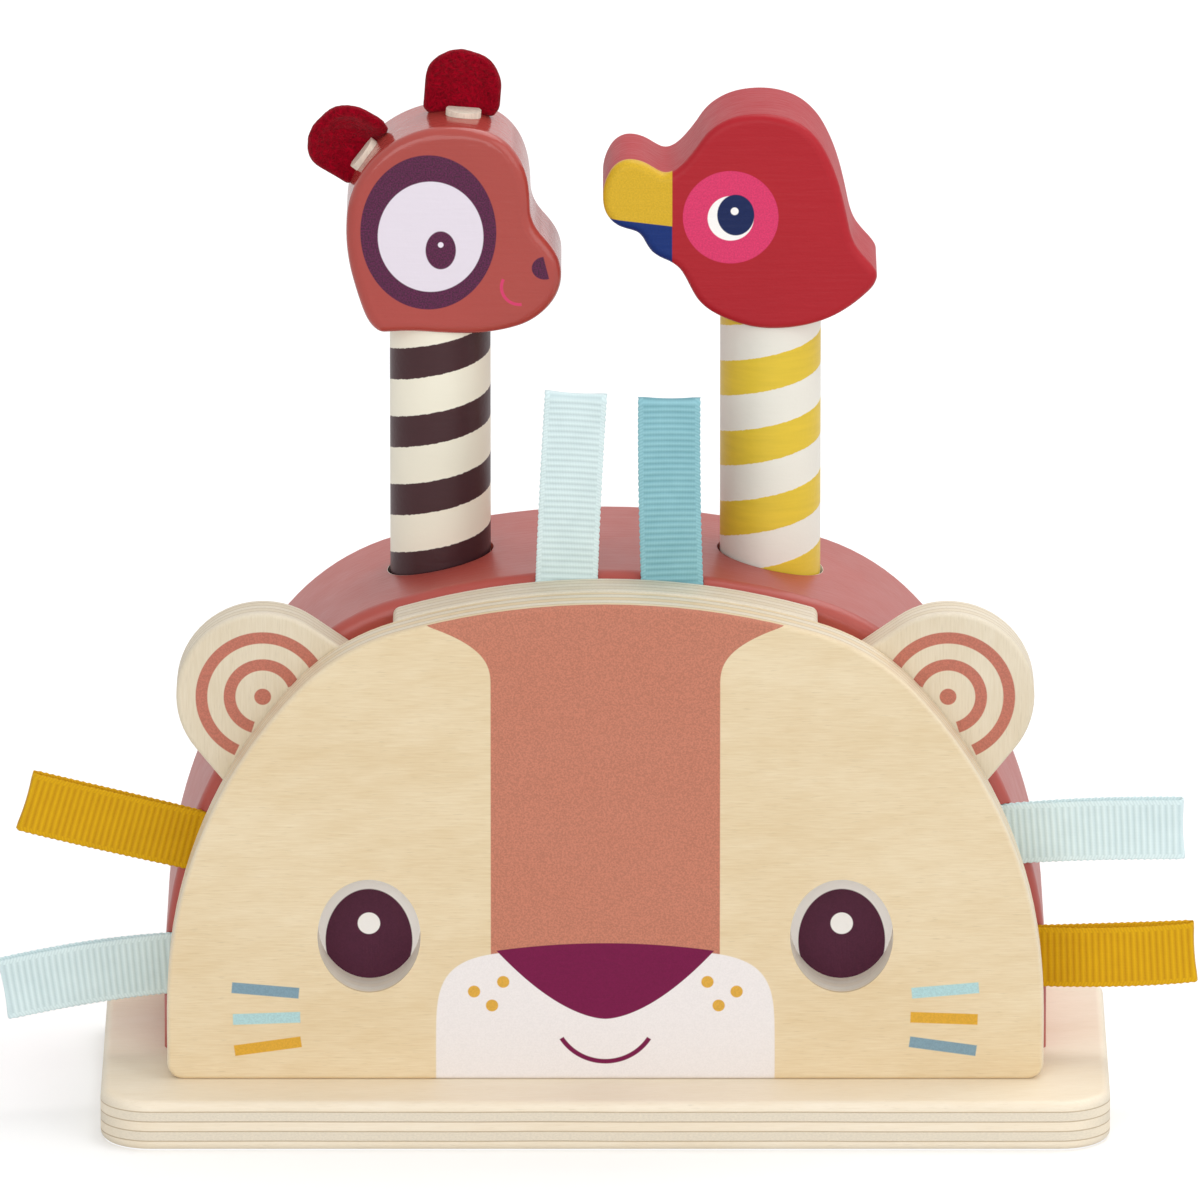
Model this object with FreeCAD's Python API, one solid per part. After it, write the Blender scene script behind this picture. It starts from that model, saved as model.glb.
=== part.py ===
# Pop-up toy: two sprung animal pegs in a half-round block, behind a big cat's face.
# X runs to the right, Y to the back and Z up; the origin is the centre of the base's underside.
import FreeCAD, Part
import math
import os

V = FreeCAD.Vector

# Plywood sheet that the base, the ear board and the face board are cut from
PLY = 9.0

# Base board
BASE_WIDTH = 180.0
BASE_DEPTH = 80.0
BASE_CORNER_RADIUS = 9.0
BASE_EDGE_RADIUS = 1.5

# Half-round outline shared by the face board and the block
FACE_HALF_WIDTH = 78.2
FACE_HEIGHT = 88.0
SIDE_STRAIGHT = 13.0
SIDE_TIGHTER = 2.0          # how much smaller a side's radius is than the face's height
SHOULDER_RADIUS = 39.0
CROWN_RADIUS = 132.0
FACE_MARGIN = 14.0          # from the base's front edge to the face
FACE_EDGE_RADIUS = 0.8
FACE_FOOT_RADIUS = 3.0

# Eye openings, which are upright ovals
EYE_SPACING = 84.2
EYE_HEIGHT = 26.7           # centre above the base's top
EYE_WIDTH = 18.4
EYE_TALL = 21.0

# Ear board
CREST_HALF_WIDTH = 37.8     # stretch of the top that follows the face's outline
CREST_CORNER_RADIUS = 1.5
EAR_BOARD_INSET = 4.0       # how far it stands back from the face's outline elsewhere
EAR_SPACING = 122.0
EAR_DROP = 19.5             # centre below the face's top
EAR_RADIUS = 15.4
EAR_AXIS = 137.0            # degrees from +X, of the left ear
EAR_FLARE = 8.0             # degrees that each side widens towards the head
EAR_ROOT = 22.0             # length of the flared sides
EAR_EDGE_RADIUS = 0.8

# Block
BODY_DEPTH = 46.0
BODY_PROUD = 0.8            # how far it stands outside the face's outline
BODY_EDGE_RADIUS = 2.5

# Pegs and what guides them
PEG_SPACING = 59.0
ROD_DIAMETER = 18.0
GUIDE_DIAMETER = 19.0
CHAMBER_DIAMETER = 21.2
COLLAR_DIAMETER = 20.6
COLLAR_THICKNESS = 8.0
STOP_GAP = 0.2              # between the collar and its shoulder in the block
SPIGOT_DIAMETER = 12.0      # rod's turned-down lower end, in the collar
TENON_DIAMETER = 10.0       # rod's turned-down upper end, in the head
TENON_LENGTH = 12.0
TENON_END_GAP = 0.3         # between the tenon's end and the bottom of its hole
GLUE_GAP = 0.05             # radial, round spigots, tenons and plugs
ROD_CHAMFER = 0.6

# Springs
PRESS_TRAVEL = 36.0
PRESSED_SPRING = 11.0       # length of the spring with the peg fully down
SPRING_DIAMETER = 18.0      # over the wire
WIRE_DIAMETER = 1.2
SPRING_TURNS = 7
SPRING_DEAD_TURNS = 1       # closed turns at each end
SPRING_STEPS = 16           # straight steps in a turn
WIRE_SIDES = 6
DEAD_TURN_PITCH = 1.5       # rise of a closed turn
SPRING_SEAT_GAP = 0.1       # at each end

# Heads
HEAD_THICKNESS = 21.0
LEMUR_BOTTOM = 129.4        # above the base's top
PARROT_BOTTOM = 130.3
LEMUR_EDGE_RADIUS = 2.0
PARROT_EDGE_RADIUS = 1.5
LEMUR_SEAT_DEPTH = 0.4
PARROT_SEAT_DEPTH = 1.9
SEAT_GAP = 0.1              # radial, round the rod's end in its seat

# Lemur's outline from the left end of its flat underside round by the snout, the crown and the
# cheek, each point right of the peg's axis and above the underside
LEMUR_OUTLINE = [
    (-9.6, 0.1), (0.0, 0.0), (9.6, 0.2), (17.0, 2.8), (21.6, 9.4), (20.3, 15.2), (17.0, 19.6),
    (15.8, 27.2), (11.4, 35.4), (2.4, 38.0), (-8.0, 35.2), (-14.9, 27.6), (-16.6, 17.2),
    (-14.4, 6.4),
]

# Parrot's outline from its lowest point round by the tail feather, the crown and the beak
PARROT_OUTLINE = [
    (-0.2, 0.0), (9.8, 1.7), (16.0, 5.6), (18.9, 9.9), (15.8, 14.2), (13.6, 20.2),
    (11.2, 29.2), (5.6, 37.4), (-2.4, 39.5), (-10.6, 36.7), (-15.4, 30.7), (-18.7, 28.6),
    (-22.3, 30.3), (-26.6, 30.7), (-29.6, 26.6), (-29.0, 20.6), (-26.4, 18.6), (-23.6, 17.6),
    (-21.4, 14.4), (-16.9, 11.6), (-13.2, 5.6), (-7.2, 1.5),
]

# Felt ears of the lemur, each pinned in a blind hole by a wooden plug
FELT_THICKNESS = 2.5
FELT_WIDTH = 13.8
FELT_LENGTH = 11.6
FELT_STANDOFF = 0.3
FELT_TAB_WIDTH = 5.0
FELT_TAB_DEPTH = 6.0
FELT_TAB_THICKNESS = 1.4
PLUG_HOLE_DIAMETER = 6.4
PLUG_HOLE_DEPTH = 7.0
PLUG_PROUD = 0.9
FELT_TAB_LAP = 1.5          # how far the tab runs up into the tongue
FELT_FOOT_SHARE = 0.92      # width at the foot as a share of the width above
FELT_SIDE_SHARE = 0.99
EAR_SEATS = {
    # root point on the outline, direction of the hole and lean of the felt, in degrees from +X
    "front": ((4.2, 37.9), 86.0, 90.0),
    "back": ((-13.3, 30.4), 143.0, 153.0),
}

# Ribbon loops, clamped in pockets cut in the block's front face
RIBBON_WIDTH = 11.0
RIBBON_FOLDED = 1.1         # both layers where they are clamped
RIBBON_TAIL = 13.0
RIBBON_FOLD_RADIUS = 1.1
POCKET_GAP = 0.1
RIBBONS = {
    # edge it leaves by; distance right of the centre on the top edge, or height above the base's
    # top on a side; distance in from the face's outline; direction in degrees from +X; free
    # length; how far the end leans to the front; belly of each layer
    "ribbon_top_blue": ("top", -6.9, 0.5, 87.3, 34.6, 5.0, 0.7),
    "ribbon_top_teal": ("top", 11.9, 0.5, 91.0, 34.2, 5.5, 0.7),
    "ribbon_left_mustard": ("left", 39.2, 0.7, 165.0, 31.0, 3.0, 0.9),
    "ribbon_left_blue": ("left", 16.2, 0.0, 187.0, 29.5, 4.0, 0.8),
    "ribbon_right_blue": ("right", 40.4, 0.1, 3.0, 29.5, 2.5, 0.8),
    "ribbon_right_mustard": ("right", 17.6, 0.3, 3.0, 27.5, 1.5, 1.9),
}

# Screws that hold the base to the block
SCREW_SPACING_X = 120.0
SCREW_SPACING_Y = 26.0
SCREW_HEAD_DIAMETER = 7.0
SCREW_HEAD_HEIGHT = 2.6
SCREW_DIAMETER = 3.5
SCREW_LENGTH = 22.0
SCREW_SINK = 0.4            # head below the base's underside
SCREW_GAP = 0.25            # radial, in the base
DRIVE_DIAMETER = 2.8
DRIVE_DEPTH = 1.4

# How far a cutter runs past a surface, and how near counts as touching
OVERRUN = 3.0
TOUCH = 1e-4
OUTLINE_TOLERANCE = 0.05    # most that a head's arcs stray from its smooth curve

# Places worked out from the sizes above
DECK = PLY
SIDE_RADIUS = FACE_HEIGHT - SIDE_TIGHTER
EAR_HEIGHT = FACE_HEIGHT - EAR_DROP
FACE_FRONT = -BASE_DEPTH / 2 + FACE_MARGIN
FACE_BACK = FACE_FRONT + PLY
BODY_FRONT = FACE_BACK + PLY
BODY_BACK = BODY_FRONT + BODY_DEPTH
PEG_Y = (BODY_FRONT + BODY_BACK) / 2
COLLAR_BOTTOM = DECK + PRESSED_SPRING + PRESS_TRAVEL
COLLAR_TOP = COLLAR_BOTTOM + COLLAR_THICKNESS
SHOULDER = COLLAR_TOP + STOP_GAP
POCKET_DEPTH = RIBBON_FOLDED + POCKET_GAP
BODY_TOP = DECK + FACE_HEIGHT + BODY_PROUD


def unit(angle):
    """Direction in the upright X-Z plane, in degrees from +X."""
    return V(math.cos(math.radians(angle)), 0, math.sin(math.radians(angle)))


def arc(start, middle, end):
    return Part.Arc(start, middle, end).toShape()


def line(start, end):
    return Part.LineSegment(start, end).toShape()


def prism(wire, depth):
    """Solid from an outline in the X-Z plane, carried back along Y."""
    return Part.Face(wire).extrude(V(0, depth, 0))


def cylinder(radius, height, x, y, z):
    return Part.makeCylinder(radius, height, V(x, y, z), V(0, 0, 1))


def edges_at(shape, y):
    """Edges that lie wholly in the plane at this depth."""
    boxes = [(edge, edge.BoundBox) for edge in shape.Edges]
    return [edge for edge, box in boxes if abs(box.YMin - y) < TOUCH and abs(box.YMax - y) < TOUCH]


def round_rims(board, front, thickness, radius):
    """Rounds the front and back rims of a flat piece."""
    return board.makeFillet(radius, edges_at(board, front) + edges_at(board, front + thickness))


def circle_on_arc(first, first_radius, second, second_radius, radius):
    """Centre of an arc that is inside both circles and touches them."""
    a = first_radius - radius
    b = second_radius - radius
    across = second - first
    span = across.Length
    along = (a * a - b * b + span * span) / (2 * span)
    rise = math.sqrt(a * a - along * along)
    towards = across / span
    return first + towards * along + V(-towards.z, 0, towards.x) * rise


def half_round(y, grow=0.0):
    """Half-round outline on the deck: straight feet, then side, shoulder and crown arcs."""
    half = FACE_HALF_WIDTH + grow
    side_radius = SIDE_RADIUS + grow
    shoulder_radius = SHOULDER_RADIUS + grow
    crown_radius = CROWN_RADIUS + grow
    side_centre = V(half - side_radius, 0, SIDE_STRAIGHT)
    crown_centre = V(0, 0, FACE_HEIGHT + grow - crown_radius)
    shoulder_centre = circle_on_arc(side_centre, side_radius, crown_centre, crown_radius, shoulder_radius)
    low = (shoulder_centre - side_centre).normalize()
    high = (shoulder_centre - crown_centre).normalize()
    low_angle = math.atan2(low.z, low.x)
    high_angle = math.atan2(high.z, high.x)
    middle = (low_angle + high_angle) / 2

    def at(centre, radius, angle):
        return centre + V(math.cos(angle), 0, math.sin(angle)) * radius

    right = [
        V(half, 0, 0),
        V(half, 0, SIDE_STRAIGHT),
        at(side_centre, side_radius, low_angle / 2),
        at(side_centre, side_radius, low_angle),
        at(shoulder_centre, shoulder_radius, middle),
        at(crown_centre, crown_radius, high_angle),
    ]
    lift = V(0, y, DECK)
    right = [p + lift for p in right]
    left = [V(-p.x, p.y, p.z) for p in right]
    crown = V(0, y, DECK + FACE_HEIGHT + grow)
    return Part.Wire([
        line(left[0], right[0]),
        line(right[0], right[1]),
        arc(right[1], right[2], right[3]),
        arc(right[3], right[4], right[5]),
        arc(right[5], crown, left[5]),
        arc(left[5], left[4], left[3]),
        arc(left[3], left[2], left[1]),
        line(left[1], left[0]),
    ])


def base_board():
    board = Part.makeBox(BASE_WIDTH, BASE_DEPTH, PLY, V(-BASE_WIDTH / 2, -BASE_DEPTH / 2, 0))
    corners = [e for e in board.Edges if abs(e.BoundBox.ZLength - PLY) < TOUCH]
    board = board.makeFillet(BASE_CORNER_RADIUS, corners)
    rims = [e for e in board.Edges if e.BoundBox.ZLength < TOUCH]
    board = board.makeFillet(BASE_EDGE_RADIUS, rims)
    for x, y in screw_places():
        board = board.cut(cylinder(SCREW_DIAMETER / 2 + SCREW_GAP, PLY, x, y, 0))
        board = board.cut(countersink(x, y, SCREW_GAP))
    return board


def screw_places():
    return [
        (side * SCREW_SPACING_X / 2, PEG_Y + end * SCREW_SPACING_Y / 2)
        for side in (-1, 1) for end in (-1, 1)
    ]


def countersink(x, y, gap):
    """Conical space of a screw's head, open at the underside."""
    wide = SCREW_HEAD_DIAMETER / 2 + gap
    narrow = SCREW_DIAMETER / 2 + gap
    cone = Part.makeCone(wide, narrow, SCREW_HEAD_HEIGHT, V(x, y, SCREW_SINK), V(0, 0, 1))
    return cone.fuse(cylinder(wide, SCREW_SINK, x, y, 0))


def screw(x, y):
    head = Part.makeCone(
        SCREW_HEAD_DIAMETER / 2, SCREW_DIAMETER / 2, SCREW_HEAD_HEIGHT, V(x, y, SCREW_SINK), V(0, 0, 1)
    )
    shank_bottom = SCREW_SINK + SCREW_HEAD_HEIGHT
    point = SCREW_DIAMETER
    shank = cylinder(SCREW_DIAMETER / 2, SCREW_LENGTH - SCREW_HEAD_HEIGHT - point, x, y, shank_bottom)
    tip = Part.makeCone(
        SCREW_DIAMETER / 2, SCREW_DIAMETER / 8, point, V(x, y, SCREW_SINK + SCREW_LENGTH - point), V(0, 0, 1)
    )
    return head.fuse([shank, tip]).removeSplitter().cut(cross_recess(x, y))


def cross_recess(x, y):
    """Cross-shaped driver recess in the underside of a screw's head."""
    arm = DRIVE_DIAMETER / 4
    cross = Part.makeBox(DRIVE_DIAMETER, arm, DRIVE_DEPTH, V(x - DRIVE_DIAMETER / 2, y - arm / 2, SCREW_SINK))
    return cross.fuse(cross.rotated(V(x, y, 0), V(0, 0, 1), 90))


def pilot(x, y):
    """Pilot hole in the block, the screw's own shape above the deck."""
    return cylinder(SCREW_DIAMETER / 2, SCREW_SINK + SCREW_LENGTH - DECK, x, y, DECK)


def face_board():
    board = prism(half_round(FACE_FRONT), PLY)
    feet = [
        e for e in board.Edges
        if abs(e.BoundBox.YLength - PLY) < TOUCH and e.BoundBox.ZMax < DECK + TOUCH
    ]
    board = board.makeFillet(FACE_FOOT_RADIUS, feet)
    board = round_rims(board, FACE_FRONT, PLY, FACE_EDGE_RADIUS)
    for side in (-1, 1):
        board = board.cut(eye_opening(side))
    return board


def eye_opening(side):
    """Upright oval that runs through the face board."""
    centre = V(side * EYE_SPACING / 2, FACE_FRONT - OVERRUN, DECK + EYE_HEIGHT)
    oval = Part.Ellipse(centre + V(0, 0, EYE_TALL / 2), centre + V(EYE_WIDTH / 2, 0, 0), centre)
    return prism(Part.Wire(oval.toShape()), PLY + 2 * OVERRUN)


def ear(side):
    """Round ear with sides that widen towards the head, in the ear board's thickness."""
    angle = EAR_AXIS
    centre = V(-EAR_SPACING / 2, FACE_BACK, DECK + EAR_HEIGHT)
    upper = unit(angle - 90 + EAR_FLARE)
    lower = unit(angle + 90 - EAR_FLARE)
    inward_upper = unit(angle + 180 + EAR_FLARE)
    inward_lower = unit(angle + 180 - EAR_FLARE)
    a = centre + upper * EAR_RADIUS
    b = centre + lower * EAR_RADIUS
    tip = centre + unit(angle) * EAR_RADIUS
    root_a = a + inward_upper * EAR_ROOT
    root_b = b + inward_lower * EAR_ROOT
    wire = Part.Wire([arc(b, tip, a), line(a, root_a), line(root_a, root_b), line(root_b, b)])
    left = round_rims(prism(wire, PLY), FACE_BACK, PLY, EAR_EDGE_RADIUS)
    if side < 0:
        return left
    return left.mirror(V(0, 0, 0), V(1, 0, 0))


def ear_board():
    """Board between the face and the block: crest, ears and a set-back edge between them."""
    crest = prism(half_round(FACE_BACK), PLY)
    strip = Part.makeBox(
        2 * CREST_HALF_WIDTH, PLY, FACE_HEIGHT / 2, V(-CREST_HALF_WIDTH, FACE_BACK, DECK + FACE_HEIGHT / 2)
    )
    crest = crest.common(strip)
    ends = [
        e for e in crest.Edges
        if abs(e.BoundBox.YLength - PLY) < TOUCH and e.BoundBox.ZMin > DECK + FACE_HEIGHT * 0.75
        and abs(abs(e.BoundBox.XMin) - CREST_HALF_WIDTH) < TOUCH
    ]
    crest = crest.makeFillet(CREST_CORNER_RADIUS, ends)
    crest = round_rims(crest, FACE_BACK, PLY, EAR_EDGE_RADIUS)
    core = prism(half_round(FACE_BACK, -EAR_BOARD_INSET), PLY)
    core = round_rims(core, FACE_BACK, PLY, EAR_EDGE_RADIUS)
    return core.fuse([crest, ear(-1), ear(1)]).removeSplitter()


def body_block():
    block = prism(half_round(BODY_FRONT, BODY_PROUD), BODY_DEPTH)
    rims = edges_at(block, BODY_FRONT) + edges_at(block, BODY_BACK)
    rims = [e for e in rims if e.BoundBox.ZMax > DECK + TOUCH]
    block = block.makeFillet(BODY_EDGE_RADIUS, rims)
    for side in (-1, 1):
        x = side * PEG_SPACING / 2
        block = block.cut(cylinder(GUIDE_DIAMETER / 2, BODY_TOP, x, PEG_Y, 0))
        block = block.cut(cylinder(CHAMBER_DIAMETER / 2, SHOULDER, x, PEG_Y, 0))
    for x, y in screw_places():
        block = block.cut(pilot(x, y))
    for name in RIBBONS:
        block = block.cut(ribbon_pocket(name))
    return block


def ribbon_root(name):
    """Middle of the place where a ribbon leaves the block, just inside the half-round outline."""
    edge, place, inset = RIBBONS[name][:3]
    if edge == "top":
        drop = CROWN_RADIUS - math.sqrt(CROWN_RADIUS ** 2 - place ** 2)
        return V(place, BODY_FRONT, DECK + FACE_HEIGHT - drop - inset)
    bulge = math.sqrt(SIDE_RADIUS ** 2 - (place - SIDE_STRAIGHT) ** 2)
    out = FACE_HALF_WIDTH - SIDE_RADIUS + bulge - inset
    return V(-out if edge == "left" else out, BODY_FRONT, DECK + place)


def placed_ribbon(shape, name):
    """Turns a form made along +X, with its front to -Y, onto a ribbon's root."""
    angle = RIBBONS[name][3]
    shape = shape.rotated(V(0, 0, 0), V(0, -1, 0), angle)
    shape.translate(ribbon_root(name))
    return shape


def ribbon_pocket(name):
    width = RIBBON_WIDTH + 2 * POCKET_GAP
    long = 2 * RIBBON_TAIL
    pocket = Part.makeBox(long, POCKET_DEPTH, width, V(-RIBBON_TAIL - POCKET_GAP, 0, -width / 2))
    return placed_ribbon(pocket, name)


def ribbon(name):
    """Folded loop: a clamped tail, two bellied layers and a rounded fold, carried over its width."""
    length, lean, belly = RIBBONS[name][4:]
    back = RIBBON_FOLDED
    end = length - RIBBON_FOLD_RADIUS
    end_middle = RIBBON_FOLDED / 2 - lean
    front_half = V(end / 2, -lean / 4 - belly, 0)
    back_half = V(end / 2, back - lean / 4 + belly, 0)
    front_end = V(end, end_middle - RIBBON_FOLD_RADIUS, 0)
    back_end = V(end, end_middle + RIBBON_FOLD_RADIUS, 0)
    profile = Part.Wire([
        line(V(-RIBBON_TAIL, 0, 0), V(0, 0, 0)),
        arc(V(0, 0, 0), front_half, front_end),
        arc(front_end, V(length, end_middle, 0), back_end),
        arc(back_end, back_half, V(0, back, 0)),
        line(V(0, back, 0), V(-RIBBON_TAIL, back, 0)),
        line(V(-RIBBON_TAIL, back, 0), V(-RIBBON_TAIL, 0, 0)),
    ])
    loop = Part.Face(profile).extrude(V(0, 0, RIBBON_WIDTH))
    loop.translate(V(0, 0, -RIBBON_WIDTH / 2))
    return placed_ribbon(loop, name)


def peg_x(side):
    return side * PEG_SPACING / 2


def rod(side, head_bottom, seat_depth):
    """Dowel with a spigot for the collar below and a tenon for the head above."""
    x = peg_x(side)
    top = DECK + head_bottom + seat_depth
    shaft = cylinder(ROD_DIAMETER / 2, top - COLLAR_TOP, x, PEG_Y, COLLAR_TOP)
    spigot = cylinder(SPIGOT_DIAMETER / 2, COLLAR_THICKNESS, x, PEG_Y, COLLAR_BOTTOM)
    tenon = cylinder(TENON_DIAMETER / 2, TENON_LENGTH, x, PEG_Y, top)
    tenon_rim = [e for e in tenon.Edges if e.BoundBox.ZMin > top + TENON_LENGTH - TOUCH]
    tenon = tenon.makeChamfer(ROD_CHAMFER, tenon_rim)
    return shaft.fuse([spigot, tenon])


def stop_collar(side):
    """Ring on the rod's lower end that meets the shoulder in the block and bears on the spring."""
    x = peg_x(side)
    ring = cylinder(COLLAR_DIAMETER / 2, COLLAR_THICKNESS, x, PEG_Y, COLLAR_BOTTOM)
    rims = [e for e in ring.Edges if e.BoundBox.ZLength < TOUCH]
    ring = ring.makeChamfer(ROD_CHAMFER, rims)
    return ring.cut(cylinder(SPIGOT_DIAMETER / 2 + GLUE_GAP, COLLAR_THICKNESS, x, PEG_Y, COLLAR_BOTTOM))


def spring_point(turn, low, height):
    """Point of the wire's centre line and its pitch, closed at both ends and open between."""
    active = SPRING_TURNS - 2 * SPRING_DEAD_TURNS
    dead_rise = DEAD_TURN_PITCH * SPRING_DEAD_TURNS
    if turn < SPRING_DEAD_TURNS:
        rise = dead_rise * turn / SPRING_DEAD_TURNS
    elif turn > SPRING_TURNS - SPRING_DEAD_TURNS:
        rise = height - dead_rise * (SPRING_TURNS - turn) / SPRING_DEAD_TURNS
    else:
        share = (turn - SPRING_DEAD_TURNS) / active
        rise = dead_rise + (height - 2 * dead_rise) * share
    angle = 2 * math.pi * turn
    radius = (SPRING_DIAMETER - WIRE_DIAMETER) / 2
    return V(radius * math.cos(angle), radius * math.sin(angle), low + rise)


def spring(side):
    """Compression spring between the deck and the collar, a six-sided wire in straight steps."""
    low = DECK + SPRING_SEAT_GAP + WIRE_DIAMETER / 2
    height = COLLAR_BOTTOM - SPRING_SEAT_GAP - WIRE_DIAMETER / 2 - low
    sections = []
    for step in range(SPRING_TURNS * SPRING_STEPS + 1):
        turn = step / SPRING_STEPS
        centre = spring_point(turn, low, height)
        outward = V(centre.x, centre.y, 0).normalize()
        corners = []
        for k in range(WIRE_SIDES):
            angle = 2 * math.pi * k / WIRE_SIDES
            corners.append(
                centre + outward * (WIRE_DIAMETER / 2 * math.cos(angle))
                + V(0, 0, WIRE_DIAMETER / 2 * math.sin(angle))
            )
        sections.append(Part.makePolygon(corners + corners[:1]))
    wire = Part.makeLoft(sections, True, True)
    wire.translate(V(peg_x(side), PEG_Y, 0))
    return wire


def head_front():
    return PEG_Y - HEAD_THICKNESS / 2


def drill_head(head, side, bottom, seat_depth):
    """Cuts the rod's seat and the tenon's blind hole from below."""
    x = peg_x(side)
    low = DECK + bottom
    seat = low + seat_depth
    head = head.cut(cylinder(ROD_DIAMETER / 2 + SEAT_GAP, seat_depth + OVERRUN, x, PEG_Y, low - OVERRUN))
    return head.cut(cylinder(TENON_DIAMETER / 2 + GLUE_GAP, TENON_LENGTH + TENON_END_GAP, x, PEG_Y, seat))


def head_block(side, bottom, outline, edge_radius):
    """Sawn head with rounded rims: tangent arcs along a smooth curve through the outline's points."""
    origin = V(peg_x(side), head_front(), DECK + bottom)
    curve = Part.BSplineCurve()
    curve.interpolate([origin + V(x, 0, z) for x, z in outline], PeriodicFlag=True)
    arcs = [arc.toShape() for arc in curve.toBiArcs(OUTLINE_TOLERANCE)]
    head = prism(Part.Wire(arcs), HEAD_THICKNESS)
    return round_rims(head, head_front(), HEAD_THICKNESS, edge_radius)


def lemur_head():
    head = head_block(-1, LEMUR_BOTTOM, LEMUR_OUTLINE, LEMUR_EDGE_RADIUS)
    head = drill_head(head, -1, LEMUR_BOTTOM, LEMUR_SEAT_DEPTH)
    for name in EAR_SEATS:
        head = head.cut(ear_hole(name))
    return head


def parrot_head():
    head = head_block(1, PARROT_BOTTOM, PARROT_OUTLINE, PARROT_EDGE_RADIUS)
    return drill_head(head, 1, PARROT_BOTTOM, PARROT_SEAT_DEPTH)


def ear_seat(name):
    (x, z), hole_angle, _ = EAR_SEATS[name]
    return V(peg_x(-1) + x, PEG_Y, DECK + LEMUR_BOTTOM + z), unit(hole_angle)


def ear_hole(name):
    root, out = ear_seat(name)
    bottom = root - out * PLUG_HOLE_DEPTH
    return Part.makeCylinder(PLUG_HOLE_DIAMETER / 2, PLUG_HOLE_DEPTH + OVERRUN, bottom, out)


def ear_plug(name):
    """Wooden plug with a flat side, which pins the felt's tab against the back of its hole."""
    root, out = ear_seat(name)
    length = PLUG_HOLE_DEPTH + PLUG_PROUD
    plug = Part.makeCylinder(PLUG_HOLE_DIAMETER / 2 - GLUE_GAP, length, root - out * PLUG_HOLE_DEPTH, out)
    flat = PEG_Y + PLUG_HOLE_DIAMETER / 2 - FELT_TAB_THICKNESS - 2 * GLUE_GAP
    wide = 2 * PLUG_HOLE_DIAMETER + 2 * length
    room = Part.makeBox(wide, wide, wide, V(root.x - wide / 2, flat - wide, root.z - wide / 2))
    return plug.common(room)


def felt_ear(name):
    """Round-topped felt tongue that stands off the head, with a tab down its hole."""
    root, out = ear_seat(name)
    lean = EAR_SEATS[name][2]
    up = unit(lean)
    across = unit(lean - 90)
    foot = root + out * FELT_STANDOFF
    half = FELT_WIDTH / 2
    belly = FELT_LENGTH - half
    tab_front = PEG_Y + PLUG_HOLE_DIAMETER / 2 - GLUE_GAP - FELT_TAB_THICKNESS

    def at(a, u):
        p = foot + across * a + up * u
        return V(p.x, tab_front, p.z)

    low = half * FELT_FOOT_SHARE
    side = half * FELT_SIDE_SHARE
    wire = Part.Wire([
        line(at(-low, 0), at(low, 0)),
        arc(at(low, 0), at(side, belly / 2), at(half, belly)),
        arc(at(half, belly), at(0, FELT_LENGTH), at(-half, belly)),
        arc(at(-half, belly), at(-side, belly / 2), at(-low, 0)),
    ])
    tongue = prism(wire, FELT_THICKNESS)
    tab_length = FELT_TAB_DEPTH + FELT_TAB_LAP
    tab_corner = V(-FELT_TAB_WIDTH / 2, 0, -FELT_TAB_DEPTH)
    tab = Part.makeBox(FELT_TAB_WIDTH, FELT_TAB_THICKNESS, tab_length, tab_corner)
    tab = tab.rotated(V(0, 0, 0), V(0, -1, 0), EAR_SEATS[name][1] - 90)
    tab.translate(V(root.x, tab_front, root.z))
    bore = Part.makeCylinder(
        PLUG_HOLE_DIAMETER / 2 - GLUE_GAP, PLUG_HOLE_DEPTH + OVERRUN, root - out * PLUG_HOLE_DEPTH, out
    )
    return tongue.fuse(tab.common(bore)).removeSplitter()


def pieces():
    """Every piece under its own name."""
    made = {
        "base_board": base_board(),
        "base_screws": Part.makeCompound([screw(x, y) for x, y in screw_places()]),
        "body_block": body_block(),
        "ear_board": ear_board(),
        "face_board": face_board(),
        "rod_left": rod(-1, LEMUR_BOTTOM, LEMUR_SEAT_DEPTH),
        "rod_right": rod(1, PARROT_BOTTOM, PARROT_SEAT_DEPTH),
        "stop_collar_left": stop_collar(-1),
        "stop_collar_right": stop_collar(1),
        "spring_left": spring(-1),
        "spring_right": spring(1),
        "lemur_head": lemur_head(),
        "parrot_head": parrot_head(),
    }
    for name in EAR_SEATS:
        made["felt_ear_" + name] = felt_ear(name)
        made["ear_plug_" + name] = ear_plug(name)
    for name in RIBBONS:
        made[name] = ribbon(name)
    return made


os.makedirs("parts", exist_ok=True)
for name, shape in pieces().items():
    print(name, shape.ShapeType, len(shape.Solids), shape.isValid(), round(shape.Volume, 1))
    shape.exportStep("parts/" + name + ".step")
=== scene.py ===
import math

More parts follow.
